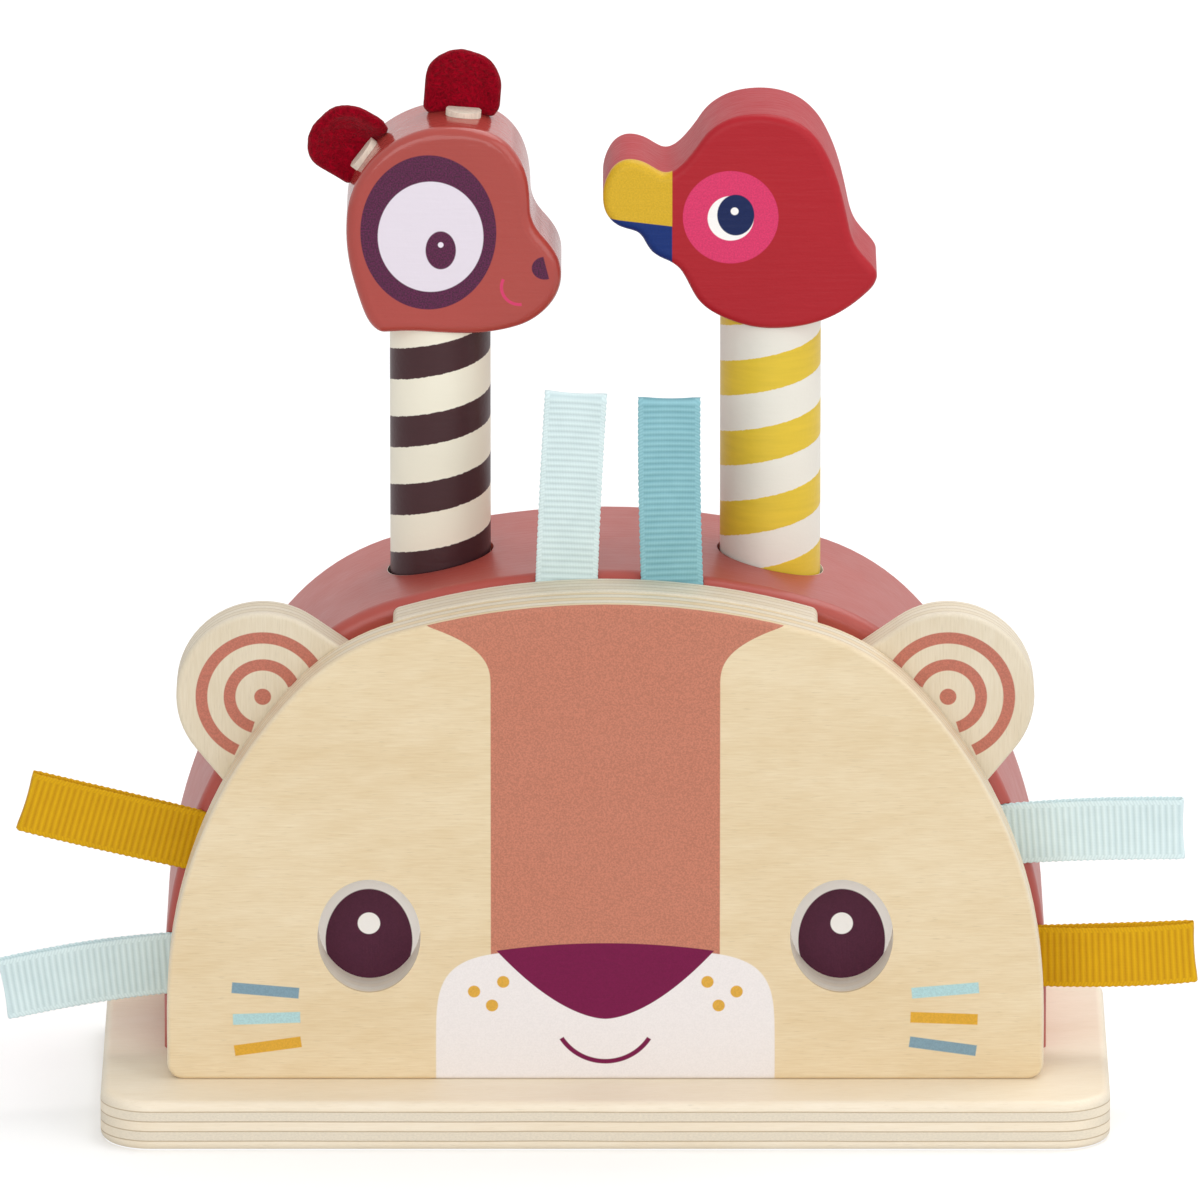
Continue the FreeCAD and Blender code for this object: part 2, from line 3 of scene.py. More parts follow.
import bpy
import numpy as np
from bpy.props import FloatProperty, FloatVectorProperty, PointerProperty
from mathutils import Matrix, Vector


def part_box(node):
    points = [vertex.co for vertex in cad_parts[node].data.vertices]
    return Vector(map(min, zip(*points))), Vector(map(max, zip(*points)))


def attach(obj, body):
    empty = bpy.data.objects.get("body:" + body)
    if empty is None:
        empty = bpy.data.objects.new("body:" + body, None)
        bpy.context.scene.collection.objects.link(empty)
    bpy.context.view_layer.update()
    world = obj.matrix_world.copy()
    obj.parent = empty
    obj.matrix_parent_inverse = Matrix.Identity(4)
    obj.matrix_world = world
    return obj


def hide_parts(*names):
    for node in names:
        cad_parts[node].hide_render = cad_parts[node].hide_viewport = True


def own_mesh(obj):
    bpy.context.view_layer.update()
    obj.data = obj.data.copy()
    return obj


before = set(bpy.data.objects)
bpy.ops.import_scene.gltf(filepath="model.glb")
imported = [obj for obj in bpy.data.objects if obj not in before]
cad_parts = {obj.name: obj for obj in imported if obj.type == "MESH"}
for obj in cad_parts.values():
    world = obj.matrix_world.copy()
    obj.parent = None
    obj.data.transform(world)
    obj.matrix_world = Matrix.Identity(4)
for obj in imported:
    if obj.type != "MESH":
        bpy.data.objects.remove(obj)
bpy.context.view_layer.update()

bl_info = {
    "name": "Pop-up Animal Toy",
    "version": (1, 0, 0),
    "blender": (4, 5, 0),
    "location": "View3D > Sidebar > Toy",
    "description": "Wood, paint, print, felt, ribbon and steel of a pop-up animal toy",
    "category": "Object",
}

# Lengths are in mm here and are turned to metres where they reach Blender
MM = 0.001


def linear(code):
    """Linear red, green and blue of an sRGB hex colour."""
    shares = [(code >> shift & 255) / 255 for shift in (16, 8, 0)]
    return tuple(s / 12.92 if s <= 0.04045 else ((s + 0.055) / 1.055) ** 2.4 for s in shares)


def corners(name):
    """Lowest and highest corner of a CAD piece, in mm."""
    low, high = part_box(name)
    return np.array(low) / MM, np.array(high) / MM


# Places read from the frame
BASE_LOW, BASE_HIGH = corners("base_board")
FACE_LOW = corners("face_board")[0]
EARS_LOW = corners("ear_board")[0]
BLOCK_LOW, BLOCK_HIGH = corners("body_block")
DECK = BASE_HIGH[2]
ROD_LEFT = sum(corners("rod_left")) / 2
ROD_RIGHT = sum(corners("rod_right")) / 2
ROD_RADIUS = (corners("rod_left")[1][0] - corners("rod_left")[0][0]) / 2
HEAD_FRONT = corners("lemur_head")[0][1]
SPRING_LOW, SPRING_HIGH = corners("spring_left")

# Five plies in a board
PLIES = 5
PLY = (BASE_HIGH[2] - BASE_LOW[2]) / PLIES

# Birch, along the grain, across it and through the board: its figure, ripple, fibres and pores,
# the cells of its sawn ends, and how its glue lines wander
FIGURE = (42.0, 15.0, 1.0)
RIPPLE = (12.0, 3.6, 1.0)
BIRCH_FIBRE = (4.5, 0.3, 0.3)
PORES = (2.4, 0.2, 0.2)
CELLS = (0.5, 0.5, 0.25)
WANDER = (40.0, 40.0, 200.0)
WANDER_DEPTH = 0.4
NEXT_FIGURE = 9.0
GLUE_HALF = 0.09

# Beech, with its grain upright: fibres and short flecks
BEECH_FIBRE = (0.6, 0.6, 14.0)
BEECH_FLECK = (0.35, 0.35, 1.6)

# Sprayed paint: thicker and thinner patches, orange peel, sanded grain below it, and gloss
PAINT_PATCH = (30.0, 30.0, 30.0)
PAINT_PEEL = (1.8, 1.8, 1.8)
PAINT_GRAIN = (14.0, 0.9, 0.9)
PAINT_GLOSS = (6.0, 6.0, 6.0)
BRUSHED = (9.0, 9.0, 1.0)

# Print: its speckle, drawn as coarse as it needs to show, how far round the edge of a board or a
# head it reaches, and how much of the wood it hides
SPECKLE = (0.3, 0.3, 0.3)
BOARD_RIM = 0.7
HEAD_RIM = 1.9
COVER = 0.96
THIN_COVER = 0.94
MUZZLE_COVER = 0.95

# Face print: brown band, nose, muzzle, dots, mouth and whisker dashes, heights above the deck
BAND_HALF_WIDTH = 20.4
BAND_FLARE = 14.0
BAND_FLARE_START = 73.0
BAND_FLARE_HEIGHT = 12.0
BAND_FLARE_POWER = 2.8
NOSE_HALF_WIDTH = 19.4
NOSE_TOP = 25.4
BAND_FOOT = NOSE_TOP - 3.0
NOSE_TOP_ARCH = 1.4
NOSE_TIP = 11.3
NOSE_SIDE_POWER = 1.7
MUZZLE_HALF_WIDTH = 30.2
MUZZLE_HALF_HEIGHT = 21.0
MUZZLE_CENTRE = 3.0
MUZZLE_POWER = 4.9
DOT_RADIUS = 1.1
DOTS = [(18.2, 18.2), (23.4, 16.4), (20.2, 13.8)]
# centre, radius, axis and half span in degrees, and stroke
MOUTH = ((0.0, 12.6), 9.2, 270.0, 58.0, 0.85)
DASH_LENGTH = 12.0
DASH_WIDTH = 2.0
DASHES = [
    # distance from the middle, height, and rise away from the middle in degrees
    (60.6, 16.6, 5.0),
    (60.4, 11.4, -2.0),
    (60.2, 6.2, -8.0),
]

# Ear board print: an eye behind each opening and concentric arcs on each ear
EYE = (42.1, 26.7)
EYE_RADIUS = 14.0
PUPIL = (42.2, 23.2, 7.75, 9.6)
GLINT = (42.2, 26.4)
GLINT_RADIUS = 2.0
EAR = (61.0, 68.5)
EAR_AXIS = 43.0
EAR_ARCS = [(10.9, 108.0), (5.9, 116.0)]
EAR_STROKE = 2.1
EAR_DOT_RADIUS = 1.5

# Spiral stripes of the rods: pitch, painted width and height of a stripe's middle at the front
STRIPES = {
    "left": (12.6, 5.75, 120.9),
    "right": (13.0, 6.4, 117.95),
}

# Lemur's print, right of its peg's axis and above the origin: centre, half width and half height of
# each oval, and its smile as the mouth
LEMUR_PATCH = (-2.0, 157.3, 12.1, 14.2)
LEMUR_EYE = (-1.6, 156.5, 9.4, 10.15)
LEMUR_PUPIL = (0.2, 154.0, 2.7, 3.5)
LEMUR_GLINT = (0.2, 155.0, 0.5, 0.5)
LEMUR_NOSTRIL = (18.7, 150.7, 2.3, 2.1)
LEMUR_NOSTRIL_SIDE = 19.0
LEMUR_NOSTRIL_SLOPE = 0.25
LEMUR_SMILE = ((14.2, 147.2), 3.2, 215.0, 62.0, 0.55)

# Parrot's print, in the same way, and the edges of its beak
PARROT_PATCH = (-7.2, 160.1, 8.5, 8.5)
PARROT_EYE = (-7.2, 159.9, 4.1, 4.1)
PARROT_PUPIL = (-6.3, 160.5, 3.3, 3.75)
PARROT_GLINT = (-6.5, 161.2, 0.7, 0.7)
BEAK_EDGE = -17.6
BEAK_MOUTH = 158.4
BEAK_MOUTH_SLOPE = -0.12

# Stage: the floor's radius, how far it reaches under the base, how far it lies below it and the
# radius of the base's corners, in degrees the steps of its rim, and its grey and glow
FLOOR_REACH = 3000.0
FLOOR_LAP = 0.6
FLOOR_GAP = 0.05
BASE_CORNER = 9.0
FLOOR_STEP = 10
PAPER_GREY = 0.8
PAPER_GLOW = 0.3
SURROUND_SHINE = 0.95
CAMERA_TARGET = (-0.95, 0.0, 90.0)
CAMERA_RISE = 0.00247
SENSOR_WIDTH = 36.0
LIGHT_TARGET = (0.0, 0.0, 90.0)
LIGHTS = {
    # place and size
    "key": ((-900.0, -2100.0, 1200.0), 1300.0),
    "front": ((200.0, -2400.0, 600.0), 1000.0),
    "fill": ((1600.0, -1200.0, 1100.0), 1500.0),
    "top": ((700.0, 600.0, 1900.0), 1600.0),
}

# Springs
SPRING_TURNS = 7
SPRING_DEAD_TURNS = 1
WIRE_DIAMETER = 1.2
DEAD_RISE = 1.5

# Painted wood: space round a rod in its bore, how far paint runs down it, how ragged a stripe's
# edge is, how thick its paint is, and how far below the rods' surface their ends are bare
BORE_CLEARANCE = 0.55
PAINTED_RIM = 5.0
STRIPE_RAG = 0.35
STRIPE_RISE = 0.04
BARE_DEPTH = 0.5

# Ribbon loops: colour, root right of the centre and above the deck, direction at the root and at
# the end in degrees from +X, free length, lean of the end to the front, belly of each layer
RIBBONS = {
    "ribbon_top_blue": ("pale_blue", (-6.9, 87.3), 88.0, 86.6, 35.9, 5.0, 0.6, 0.9),
    "ribbon_top_teal": ("teal", (11.9, 87.0), 92.2, 89.6, 35.3, 5.5, 0.7, 0.9),
    "ribbon_left_mustard": ("mustard", (-73.4, 39.2), 166.0, 163.4, 31.0, 3.0, 1.1, 0.7),
    "ribbon_left_blue": ("pale_blue", (-78.2, 16.2), 184.0, 190.0, 29.5, 4.0, 1.0, 0.6),
    "ribbon_right_blue": ("pale_blue", (73.6, 40.4), 5.0, 1.5, 29.5, 2.5, 1.0, 0.7),
    "ribbon_right_mustard": ("mustard", (77.8, 17.6), 1.0, 4.0, 27.5, 1.5, 2.3, 0.6),
}
RIBBON_SLOTS = {"pale_blue": "pale_blue_ribbon", "teal": "teal_ribbon", "mustard": "mustard_ribbon"}
RIBBON_TAIL = 6.0
RIBBON_LAYER = 0.3
RIBBON_FOLDED = 1.1
FOLD_RADIUS = 0.75
RIB_HEIGHT = 0.1
RIB_FULLNESS = 0.8
SELVEDGE = 0.9
SELVEDGE_RIB = 0.3
SELVEDGE_POWER = 14
WARP_PITCH = 0.28
RIBBON_HOLLOW = 0.35

# Where a loop's control points stand along it and which share of its lean they have, how far the
# weft's turns reach past a selvedge, points on a layer, on a fold, along a rib and across a layer,
# and how much closer the outer ones stand
LOOP_NEAR = 0.33
LOOP_FAR = 0.66
LOOP_LEAN = 0.55
LOOP_REACH = 0.07
LAYER_POINTS = 400
FOLD_POINTS = 60
RIB_POINTS = 9
RIBBON_POINTS = 25
CROWDING = 0.35

# Felt ears of the lemur: middle of the foot on the head right of its axis and above the origin,
# lean in degrees from +X, bend to the front, length that stays flat before it, and how its right
# side curls to the front
FELT_EARS = {
    "front": ((3.6, 175.5), 86.0, 24.0, 3.0, 0.01),
    "back": ((-12.2, 168.0), 148.0, 14.0, 3.0, 0.1),
}
FELT_FOOT_POWER = 0.25
FELT_BACK = 3.0

# Middle of an ear as a share of its length, how it hollows, the share of its box that it fills, and
# its points from the middle to the rim, over the rim and round it
FELT_MIDDLE = 0.45
FELT_HOLLOW = 0.01
FELT_RINGS = 44
FELT_RIM = 11
FELT_SIDES = 120
FELT_STEP = 0.01


def node(tree, kind, inputs=None, **settings):
    """Adds a node; inputs are by socket name or number, each a value or another node's output."""
    made = tree.nodes.new(kind)
    for name, value in settings.items():
        setattr(made, name, value)
    for key, value in (inputs or {}).items():
        if isinstance(value, bpy.types.NodeSocket):
            tree.links.new(value, made.inputs[key])
        else:
            made.inputs[key].default_value = value
    return made


class Field:
    """A number that varies over a surface; arithmetic on it is added to its node tree."""

    def __init__(self, tree, socket):
        self.tree = tree
        self.socket = socket

    def step(self, operation, other=0.0, turned=False, clamp=False):
        value = other.socket if isinstance(other, Field) else float(other)
        first, second = (value, self.socket) if turned else (self.socket, value)
        made = node(self.tree, "ShaderNodeMath", {0: first, 1: second}, operation=operation, use_clamp=clamp)
        return Field(self.tree, made.outputs[0])

    def __add__(self, other):
        return self.step("ADD", other)

    def __sub__(self, other):
        return self.step("SUBTRACT", other)

    def __rsub__(self, other):
        return self.step("SUBTRACT", other, turned=True)

    def __mul__(self, other):
        return self.step("MULTIPLY", other)

    def __truediv__(self, other):
        return self.step("DIVIDE", other)

    def __pow__(self, other):
        return self.step("POWER", other)

    def __neg__(self):
        return self.step("MULTIPLY", -1.0)

    def __abs__(self):
        return self.step("ABSOLUTE")

    def clamped(self):
        return self.step("ADD", 0.0, clamp=True)


def largest(first, second):
    """Distance to what two shapes share."""
    return first.step("MAXIMUM", second)


def smallest(first, second):
    """Distance to the nearer of two shapes."""
    return first.step("MINIMUM", second)


def within(distance, soft=0.14):
    """1 inside a shape and 0 outside, from the distance to its edge, blurred over soft mm."""
    return (0.5 - distance / soft).clamped()


def from_centre(x, z, centre):
    """Distance from a point in the plane of two fields."""
    across = x - centre[0]
    up = z - centre[1]
    return (across * across + up * up).step("SQRT")


def oval(x, z, shape):
    """Distance to an ellipse of centre x, centre z, half width and half height, true near it."""
    cx, cz, half_width, half_height = shape
    across = (x - cx) / half_width
    up = (z - cz) / half_height
    return ((across * across + up * up).step("SQRT") - 1.0) * min(half_width, half_height)


def bowed_line(x, z, centre, radius, axis, half_span, stroke):
    """Distance to a stroke along a circle, which runs half_span degrees each side of its axis."""
    across = x - centre[0]
    up = z - centre[1]
    turn = math.radians(axis)
    forward = across * math.cos(turn) + up * math.sin(turn)
    sideways = abs(up * math.cos(turn) - across * math.sin(turn))
    angle = sideways.step("ARCTAN2", forward)
    ring = abs((across * across + up * up).step("SQRT") - radius) - stroke / 2
    return largest(ring, (angle - math.radians(half_span)) * radius)


def bar(x, z, centre, length, width, rise):
    """Distance to a straight bar that rises by so many degrees."""
    turn = math.radians(rise)
    across = x - centre[0]
    up = z - centre[1]
    along = abs(across * math.cos(turn) + up * math.sin(turn)) - length / 2
    aside = abs(up * math.cos(turn) - across * math.sin(turn)) - width / 2
    return largest(along, aside)


def blotches(fields, lengths, detail=3.0, roughness=0.55):
    """Noise about 0.5 whose blotches measure these lengths in mm along the three fields."""
    tree = fields[0].tree
    places = {i: (field / length).socket for i, (field, length) in enumerate(zip(fields, lengths))}
    point = node(tree, "ShaderNodeCombineXYZ", places)
    inputs = {"Vector": point.outputs[0], "Scale": 1.0, "Detail": detail, "Roughness": roughness}
    return Field(tree, node(tree, "ShaderNodeTexNoise", inputs).outputs[0])


def spread(noise, times):
    """Noise with so many times its contrast, from 0 to 1."""
    return ((noise - 0.5) * times + 0.5).clamped()


def peaks(noise, above, times):
    """Only the top of a noise, from 0 to 1."""
    return ((noise - above) * times).clamped()


def layered(ground, *coats):
    """Ground with coats over it, each its share, 1 where it covers, and its colour, from the lowest;
    a colour is a plain one or an output."""
    for share, colour in coats:
        inputs = {0: share.socket, 6: ground, 7: colour}
        ground = node(share.tree, "ShaderNodeMix", inputs, data_type="RGBA").outputs[2]
    return ground


def shade(colour, factor=1.0):
    """A linear colour with its alpha, made darker or lighter."""
    return tuple(min(1.0, c * factor) for c in colour[:3]) + (1.0,)


def ink(fields, colour, contrast=0.07):
    """Printed colour with the fine dark and light speckle of its dots."""
    speckle = spread(blotches(fields, SPECKLE, 1.0), 3.0)
    return layered(shade(colour, 1 - contrast), (speckle, shade(colour, 1 + contrast)))


def printed(ground, front, prints):
    """Ground with prints on its front, each its distance, its colour and how much it covers."""
    return layered(ground, *((within(distance) * front * cover, tint) for distance, tint, cover in prints))


def start(name):
    """New material, with its shader and its Object coordinates in mm as fields."""
    material = bpy.data.materials.new(name)
    material.use_nodes = True
    tree = material.node_tree
    place = node(tree, "ShaderNodeTexCoord").outputs["Object"]
    scaled = node(tree, "ShaderNodeVectorMath", {0: place, "Scale": 1 / MM}, operation="SCALE")
    split = node(tree, "ShaderNodeSeparateXYZ", {0: scaled.outputs[0]})
    return material, tree.nodes["Principled BSDF"], [Field(tree, output) for output in split.outputs]


def finish_with(shader, colour, roughness, height, **values):
    """Connects colour, roughness and relief in mm to the shader, and sets its plain values."""
    tree = shader.id_data
    tree.links.new(colour, shader.inputs["Base Color"])
    if isinstance(roughness, Field):
        tree.links.new(roughness.socket, shader.inputs["Roughness"])
    else:
        shader.inputs["Roughness"].default_value = roughness
    bump = node(tree, "ShaderNodeBump", {"Height": height.socket, "Distance": MM, "Strength": 1.0})
    tree.links.new(bump.outputs[0], shader.inputs["Normal"])
    for name, value in values.items():
        shader.inputs[name.replace("_", " ")].default_value = value


def birch(fields, axes, low, light, dark, wood):
    """Colour and relief of birch plywood cut from the solid: plies whose grain turns by a right
    angle each time, long grain or end grain by the way the surface faces, and glue lines."""
    tree = fields[0].tree
    facing = node(tree, "ShaderNodeTexCoord").outputs["Normal"]
    shares = node(tree, "ShaderNodeVectorMath", {0: facing, 1: facing}, operation="MULTIPLY")
    shares = node(tree, "ShaderNodeSeparateXYZ", {0: shares.outputs[0]}).outputs
    facing_along, facing_across, facing_through = (Field(tree, shares[i]) for i in axes)
    edge = 1 - facing_through
    along, across, through = (fields[i] for i in axes)
    depth = through - low[axes[2]]
    wander = (blotches((along, across, depth), WANDER, 1.0) - 0.5) * WANDER_DEPTH
    depth = smallest(largest(depth + wander * edge, 0.05), PLIES * PLY - 0.05)
    ply = (depth / PLY).step("FLOOR")
    turned = ply.step("MODULO", 2.0)
    figure = blotches((along, across, ply * NEXT_FIGURE), FIGURE, 3.0)
    ripple = blotches((along + across * 0.7, across - along * 0.3, ply * NEXT_FIGURE), RIPPLE, 1.0)
    fibre = blotches((along, across, depth), BIRCH_FIBRE, 2.0)
    tone = ((figure - 0.5) * 1.2 + (ripple - 0.5) * 0.4 + (fibre - 0.5) * 1.0 + 0.5).clamped()
    pores = peaks(blotches((along, across, depth), PORES, 1.0), 0.62, 5.0) * 0.4
    long_grain = layered(shade(dark), (tone, shade(light)), (pores, shade(dark, 0.76)))
    cells = blotches((along, across, depth), CELLS, 2.0)
    end_grain = layered(shade(wood.end_grain, 0.93), (spread(cells, 2.5), shade(wood.end_grain, 1.05)))
    end_share = facing_along * (1 - turned) + facing_across * turned
    to_joint = abs((depth / PLY + 0.5).step("FRACT") - 0.5) * PLY
    inner = within(abs(depth - PLIES * PLY / 2) - (PLIES - 1) * PLY / 2, 0.5)
    glue = within(to_joint - GLUE_HALF, 0.12) * inner * edge
    colour = layered(long_grain, (end_share, end_grain), (glue * 0.7, shade(wood.glue)))
    height = (fibre - 0.5) * 0.02 + (cells - 0.5) * 0.04 * end_share - glue * 0.05
    return colour, height


def face_print(fields, wood, inks, opening_light):
    """Brown band, muzzle, nose, mouth, dots and dashes on the front of the face board, and painted light on
    the sanded walls of its openings, which are lifted towards white where light reaches into them."""
    x, y, z = fields
    up = z - DECK
    side = abs(x)
    front = within(y - FACE_LOW[1] - BOARD_RIM, 0.2)
    # Painted light: share of the walls of the eye openings, which are lightened towards white to stand in
    # for light reaching into the recess
    sanded = within(from_centre(side, up, EYE) - EYE_RADIUS, 0.2)
    rise = ((up - BAND_FLARE_START) / BAND_FLARE_HEIGHT).clamped()
    half = rise ** BAND_FLARE_POWER * BAND_FLARE + BAND_HALF_WIDTH
    band = largest(side - half, BAND_FOOT - up)
    wide = (side / MUZZLE_HALF_WIDTH) ** MUZZLE_POWER
    tall = (abs(up - MUZZLE_CENTRE) / MUZZLE_HALF_HEIGHT) ** MUZZLE_POWER
    muzzle = ((wide + tall) ** (1 / MUZZLE_POWER) - 1) * MUZZLE_HALF_HEIGHT
    share = side / NOSE_HALF_WIDTH
    bottom = share ** NOSE_SIDE_POWER * (NOSE_TOP - NOSE_TOP_ARCH - NOSE_TIP) + NOSE_TIP
    top = NOSE_TOP - share * share * NOSE_TOP_ARCH
    nose = largest(largest(up - top, bottom - up), side - NOSE_HALF_WIDTH)
    prints = [
        (band, ink(fields, inks.band, 0.13), THIN_COVER),
        (muzzle, ink(fields, inks.muzzle, 0.025), MUZZLE_COVER),
        (smallest(nose, bowed_line(x, up, *MOUTH)), ink(fields, inks.nose), 1.0),
    ]
    for place in DOTS:
        prints.append((from_centre(side, up, place) - DOT_RADIUS, ink(fields, inks.gold), COVER))
    right = within(-x)
    left_tints = (inks.steel_blue, inks.pale_blue, inks.gold)
    right_tints = (inks.pale_blue, inks.gold, inks.steel_blue)
    for (place, height, slope), left, other in zip(DASHES, left_tints, right_tints):
        dash = bar(side, up, (place, height), DASH_LENGTH, DASH_WIDTH, slope)
        prints.append((dash, layered(ink(fields, left), (right, ink(fields, other))), COVER))
    # The walls of the openings, behind the print, take 0.7 of a near white: painted light in the recess
    return printed(layered(wood, (sanded * (1 - front) * 0.7, shade(opening_light))), front, prints)


def ear_print(fields, wood, inks):
    """Eyes seen through the face's openings, and concentric arcs on the ears."""
    x, y, z = fields
    up = z - DECK
    side = abs(x)
    front = within(y - EARS_LOW[1] - BOARD_RIM, 0.2)
    marks = from_centre(side, up, EAR) - EAR_DOT_RADIUS
    for radius, half_span in EAR_ARCS:
        marks = smallest(marks, bowed_line(side, up, EAR, radius, EAR_AXIS, half_span, EAR_STROKE))
    prints = [
        (from_centre(side, up, EYE) - EYE_RADIUS, shade(inks.eye_white), 1.0),
        (oval(side, up, PUPIL), ink(fields, inks.pupil), 1.0),
        (from_centre(side, up, GLINT) - GLINT_RADIUS, shade(inks.eye_white, 1.1), 1.0),
        (marks, ink(fields, inks.ear_mark, 0.12), THIN_COVER),
    ]
    return printed(wood, front, prints)


def lemur_print(fields, coat, inks):
    """Eye in its patch, nostril and smile on the front of the lemur's head."""
    x, y, z = fields
    right = x - ROD_LEFT[0]
    plum = ink(fields, inks.lemur_patch, 0.45)
    snout = right - LEMUR_NOSTRIL_SIDE - (LEMUR_NOSTRIL[1] - z) * LEMUR_NOSTRIL_SLOPE
    prints = [
        (oval(right, z, LEMUR_PATCH), plum, 1.0),
        (oval(right, z, LEMUR_EYE), shade(inks.lemur_eye), 1.0),
        (oval(right, z, LEMUR_PUPIL), plum, 1.0),
        (oval(right, z, LEMUR_GLINT), shade(inks.lemur_eye, 1.1), 1.0),
        (largest(oval(right, z, LEMUR_NOSTRIL), snout), plum, 1.0),
        (bowed_line(right, z, *LEMUR_SMILE), shade(inks.pink), 1.0),
    ]
    return printed(coat, within(y - HEAD_FRONT - HEAD_RIM, 0.3), prints)


def parrot_print(fields, coat, inks):
    """Two-coloured beak and the eye in its patch on the front of the parrot's head."""
    x, y, z = fields
    right = x - ROD_RIGHT[0]
    white = shade(inks.eye_white, 1.08)
    upper = within(BEAK_MOUTH - z + (right - BEAK_EDGE) * BEAK_MOUTH_SLOPE)
    beak = layered(ink(fields, inks.lower_beak), (upper, ink(fields, inks.beak)))
    prints = [
        (right - BEAK_EDGE, beak, 1.0),
        (oval(right, z, PARROT_PATCH), ink(fields, inks.pink, 0.1), 1.0),
        (oval(right, z, PARROT_EYE), white, 1.0),
        (oval(right, z, PARROT_PUPIL), ink(fields, inks.navy), 1.0),
        (oval(right, z, PARROT_GLINT), white, 1.0),
    ]
    return printed(coat, within(y - HEAD_FRONT - HEAD_RIM, 0.3), prints)


def paint(name, colour, roughness, peel):
    """Paint sprayed on sanded wood: its material, shader, fields, colour, roughness and relief."""
    material, shader, fields = start(name)
    patch = spread(blotches(fields, PAINT_PATCH, 2.0), 2.0)
    coat = layered(shade(colour, 0.95), (patch, shade(colour, 1.05)))
    ripple = blotches(fields, PAINT_PEEL, 2.0)
    grain = blotches(fields, PAINT_GRAIN, 2.0)
    height = (ripple - 0.5) * peel + (grain - 0.5) * peel * 1.5
    gloss = (blotches(fields, PAINT_GLOSS, 2.0) - 0.5) * 0.14 + roughness
    return material, shader, fields, coat, gloss, height


def bare_beech(fields, tone):
    """Colour of turned beech with its short darker flecks."""
    fibre = spread(blotches(fields, BEECH_FIBRE, 2.0), 2.4)
    fleck = peaks(blotches(fields, BEECH_FLECK, 1.0), 0.62, 6.0) * 0.5
    return layered(shade(tone, 0.88), (fibre, shade(tone, 1.06)), (fleck, shade(tone, 0.68)))


def surface(name, points, values=None):
    """Closed mesh over a grid of points in mm: each column ring is joined to the next, a cap
    closes each end ring, and all faces are turned round if the volume comes out negative."""
    rings, sides, _ = points.shape
    index = np.arange(rings * sides).reshape(rings, sides)
    beside = np.roll(index, -1, axis=1)
    quads = np.stack([index[:-1], beside[:-1], beside[1:], index[1:]], axis=-1).reshape(-1, 4)
    flat = points.reshape(-1, 3)
    a, b, c, d = (flat[quads[:, k]] - flat.mean(axis=0) for k in range(4))
    volume = (a * np.cross(b, c)).sum() + (a * np.cross(c, d)).sum()
    caps = [index[0][::-1], index[-1]]
    if volume < 0:
        quads = quads[:, ::-1]
        caps = [cap[::-1] for cap in caps]
    mesh = bpy.data.meshes.new(name)
    mesh.from_pydata((flat * MM).tolist(), [], quads.tolist() + [cap.tolist() for cap in caps])
    mesh.polygons.foreach_set("use_smooth", np.ones(len(mesh.polygons), bool))
    for label, field in (values or {}).items():
        made = mesh.attributes.new(label, "FLOAT", "POINT")
        made.data.foreach_set("value", field.reshape(-1).astype(np.float32))
    mesh.update()
    return mesh


def piece(name, mesh, material, body, stands_for):
    """New piece of the toy that rides on a body in place of a CAD node."""
    mesh.materials.append(material)
    made = bpy.data.objects.new(name, mesh)
    bpy.context.scene.collection.objects.link(made)
    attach(made, body)
    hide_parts(stands_for)
    return made


def dress(name, material):
    """Gives a CAD piece its material."""
    mesh = bpy.data.objects[name].data
    mesh.materials.clear()
    mesh.materials.append(material)


def wire_points(low, high, centre, sides=12, steps=40):
    """Coil of round wire: a circle carried along a helix whose height is a line in three stretches,
    flat over the closed turns at its ends and steep between them."""
    turn = np.linspace(0, SPRING_TURNS, SPRING_TURNS * steps + 1)
    bottom = low + WIRE_DIAMETER / 2
    top = high - WIRE_DIAMETER / 2
    knots = [0, SPRING_DEAD_TURNS, SPRING_TURNS - SPRING_DEAD_TURNS, SPRING_TURNS]
    height = np.interp(turn, knots, [bottom, bottom + DEAD_RISE, top - DEAD_RISE, top])
    radius = (SPRING_HIGH[0] - SPRING_LOW[0] - WIRE_DIAMETER) / 2
    angle = 2 * np.pi * turn
    outward = np.stack([np.cos(angle), np.sin(angle), np.zeros_like(angle)], axis=-1)
    axis = np.stack([np.full_like(angle, centre[0]), np.full_like(angle, centre[1]), height], axis=-1)
    line = outward * radius + axis
    tangent = np.gradient(line, axis=0)
    tangent /= np.linalg.norm(tangent, axis=1, keepdims=True)
    upward = np.cross(tangent, outward)
    around = np.linspace(0, 2 * np.pi, sides, endpoint=False)[None, :, None]
    ring = outward[:, None] * np.cos(around) + upward[:, None] * np.sin(around)
    return line[:, None] + ring * WIRE_DIAMETER / 2


def bend(points, times):
    """Cubic curve of four control points, at these shares of it."""
    a, b, c, d = (np.array(p, float) for p in points)
    t = times[:, None]
    return a * (1 - t) ** 3 + 3 * b * t * (1 - t) ** 2 + 3 * c * t * t * (1 - t) + d * t ** 3


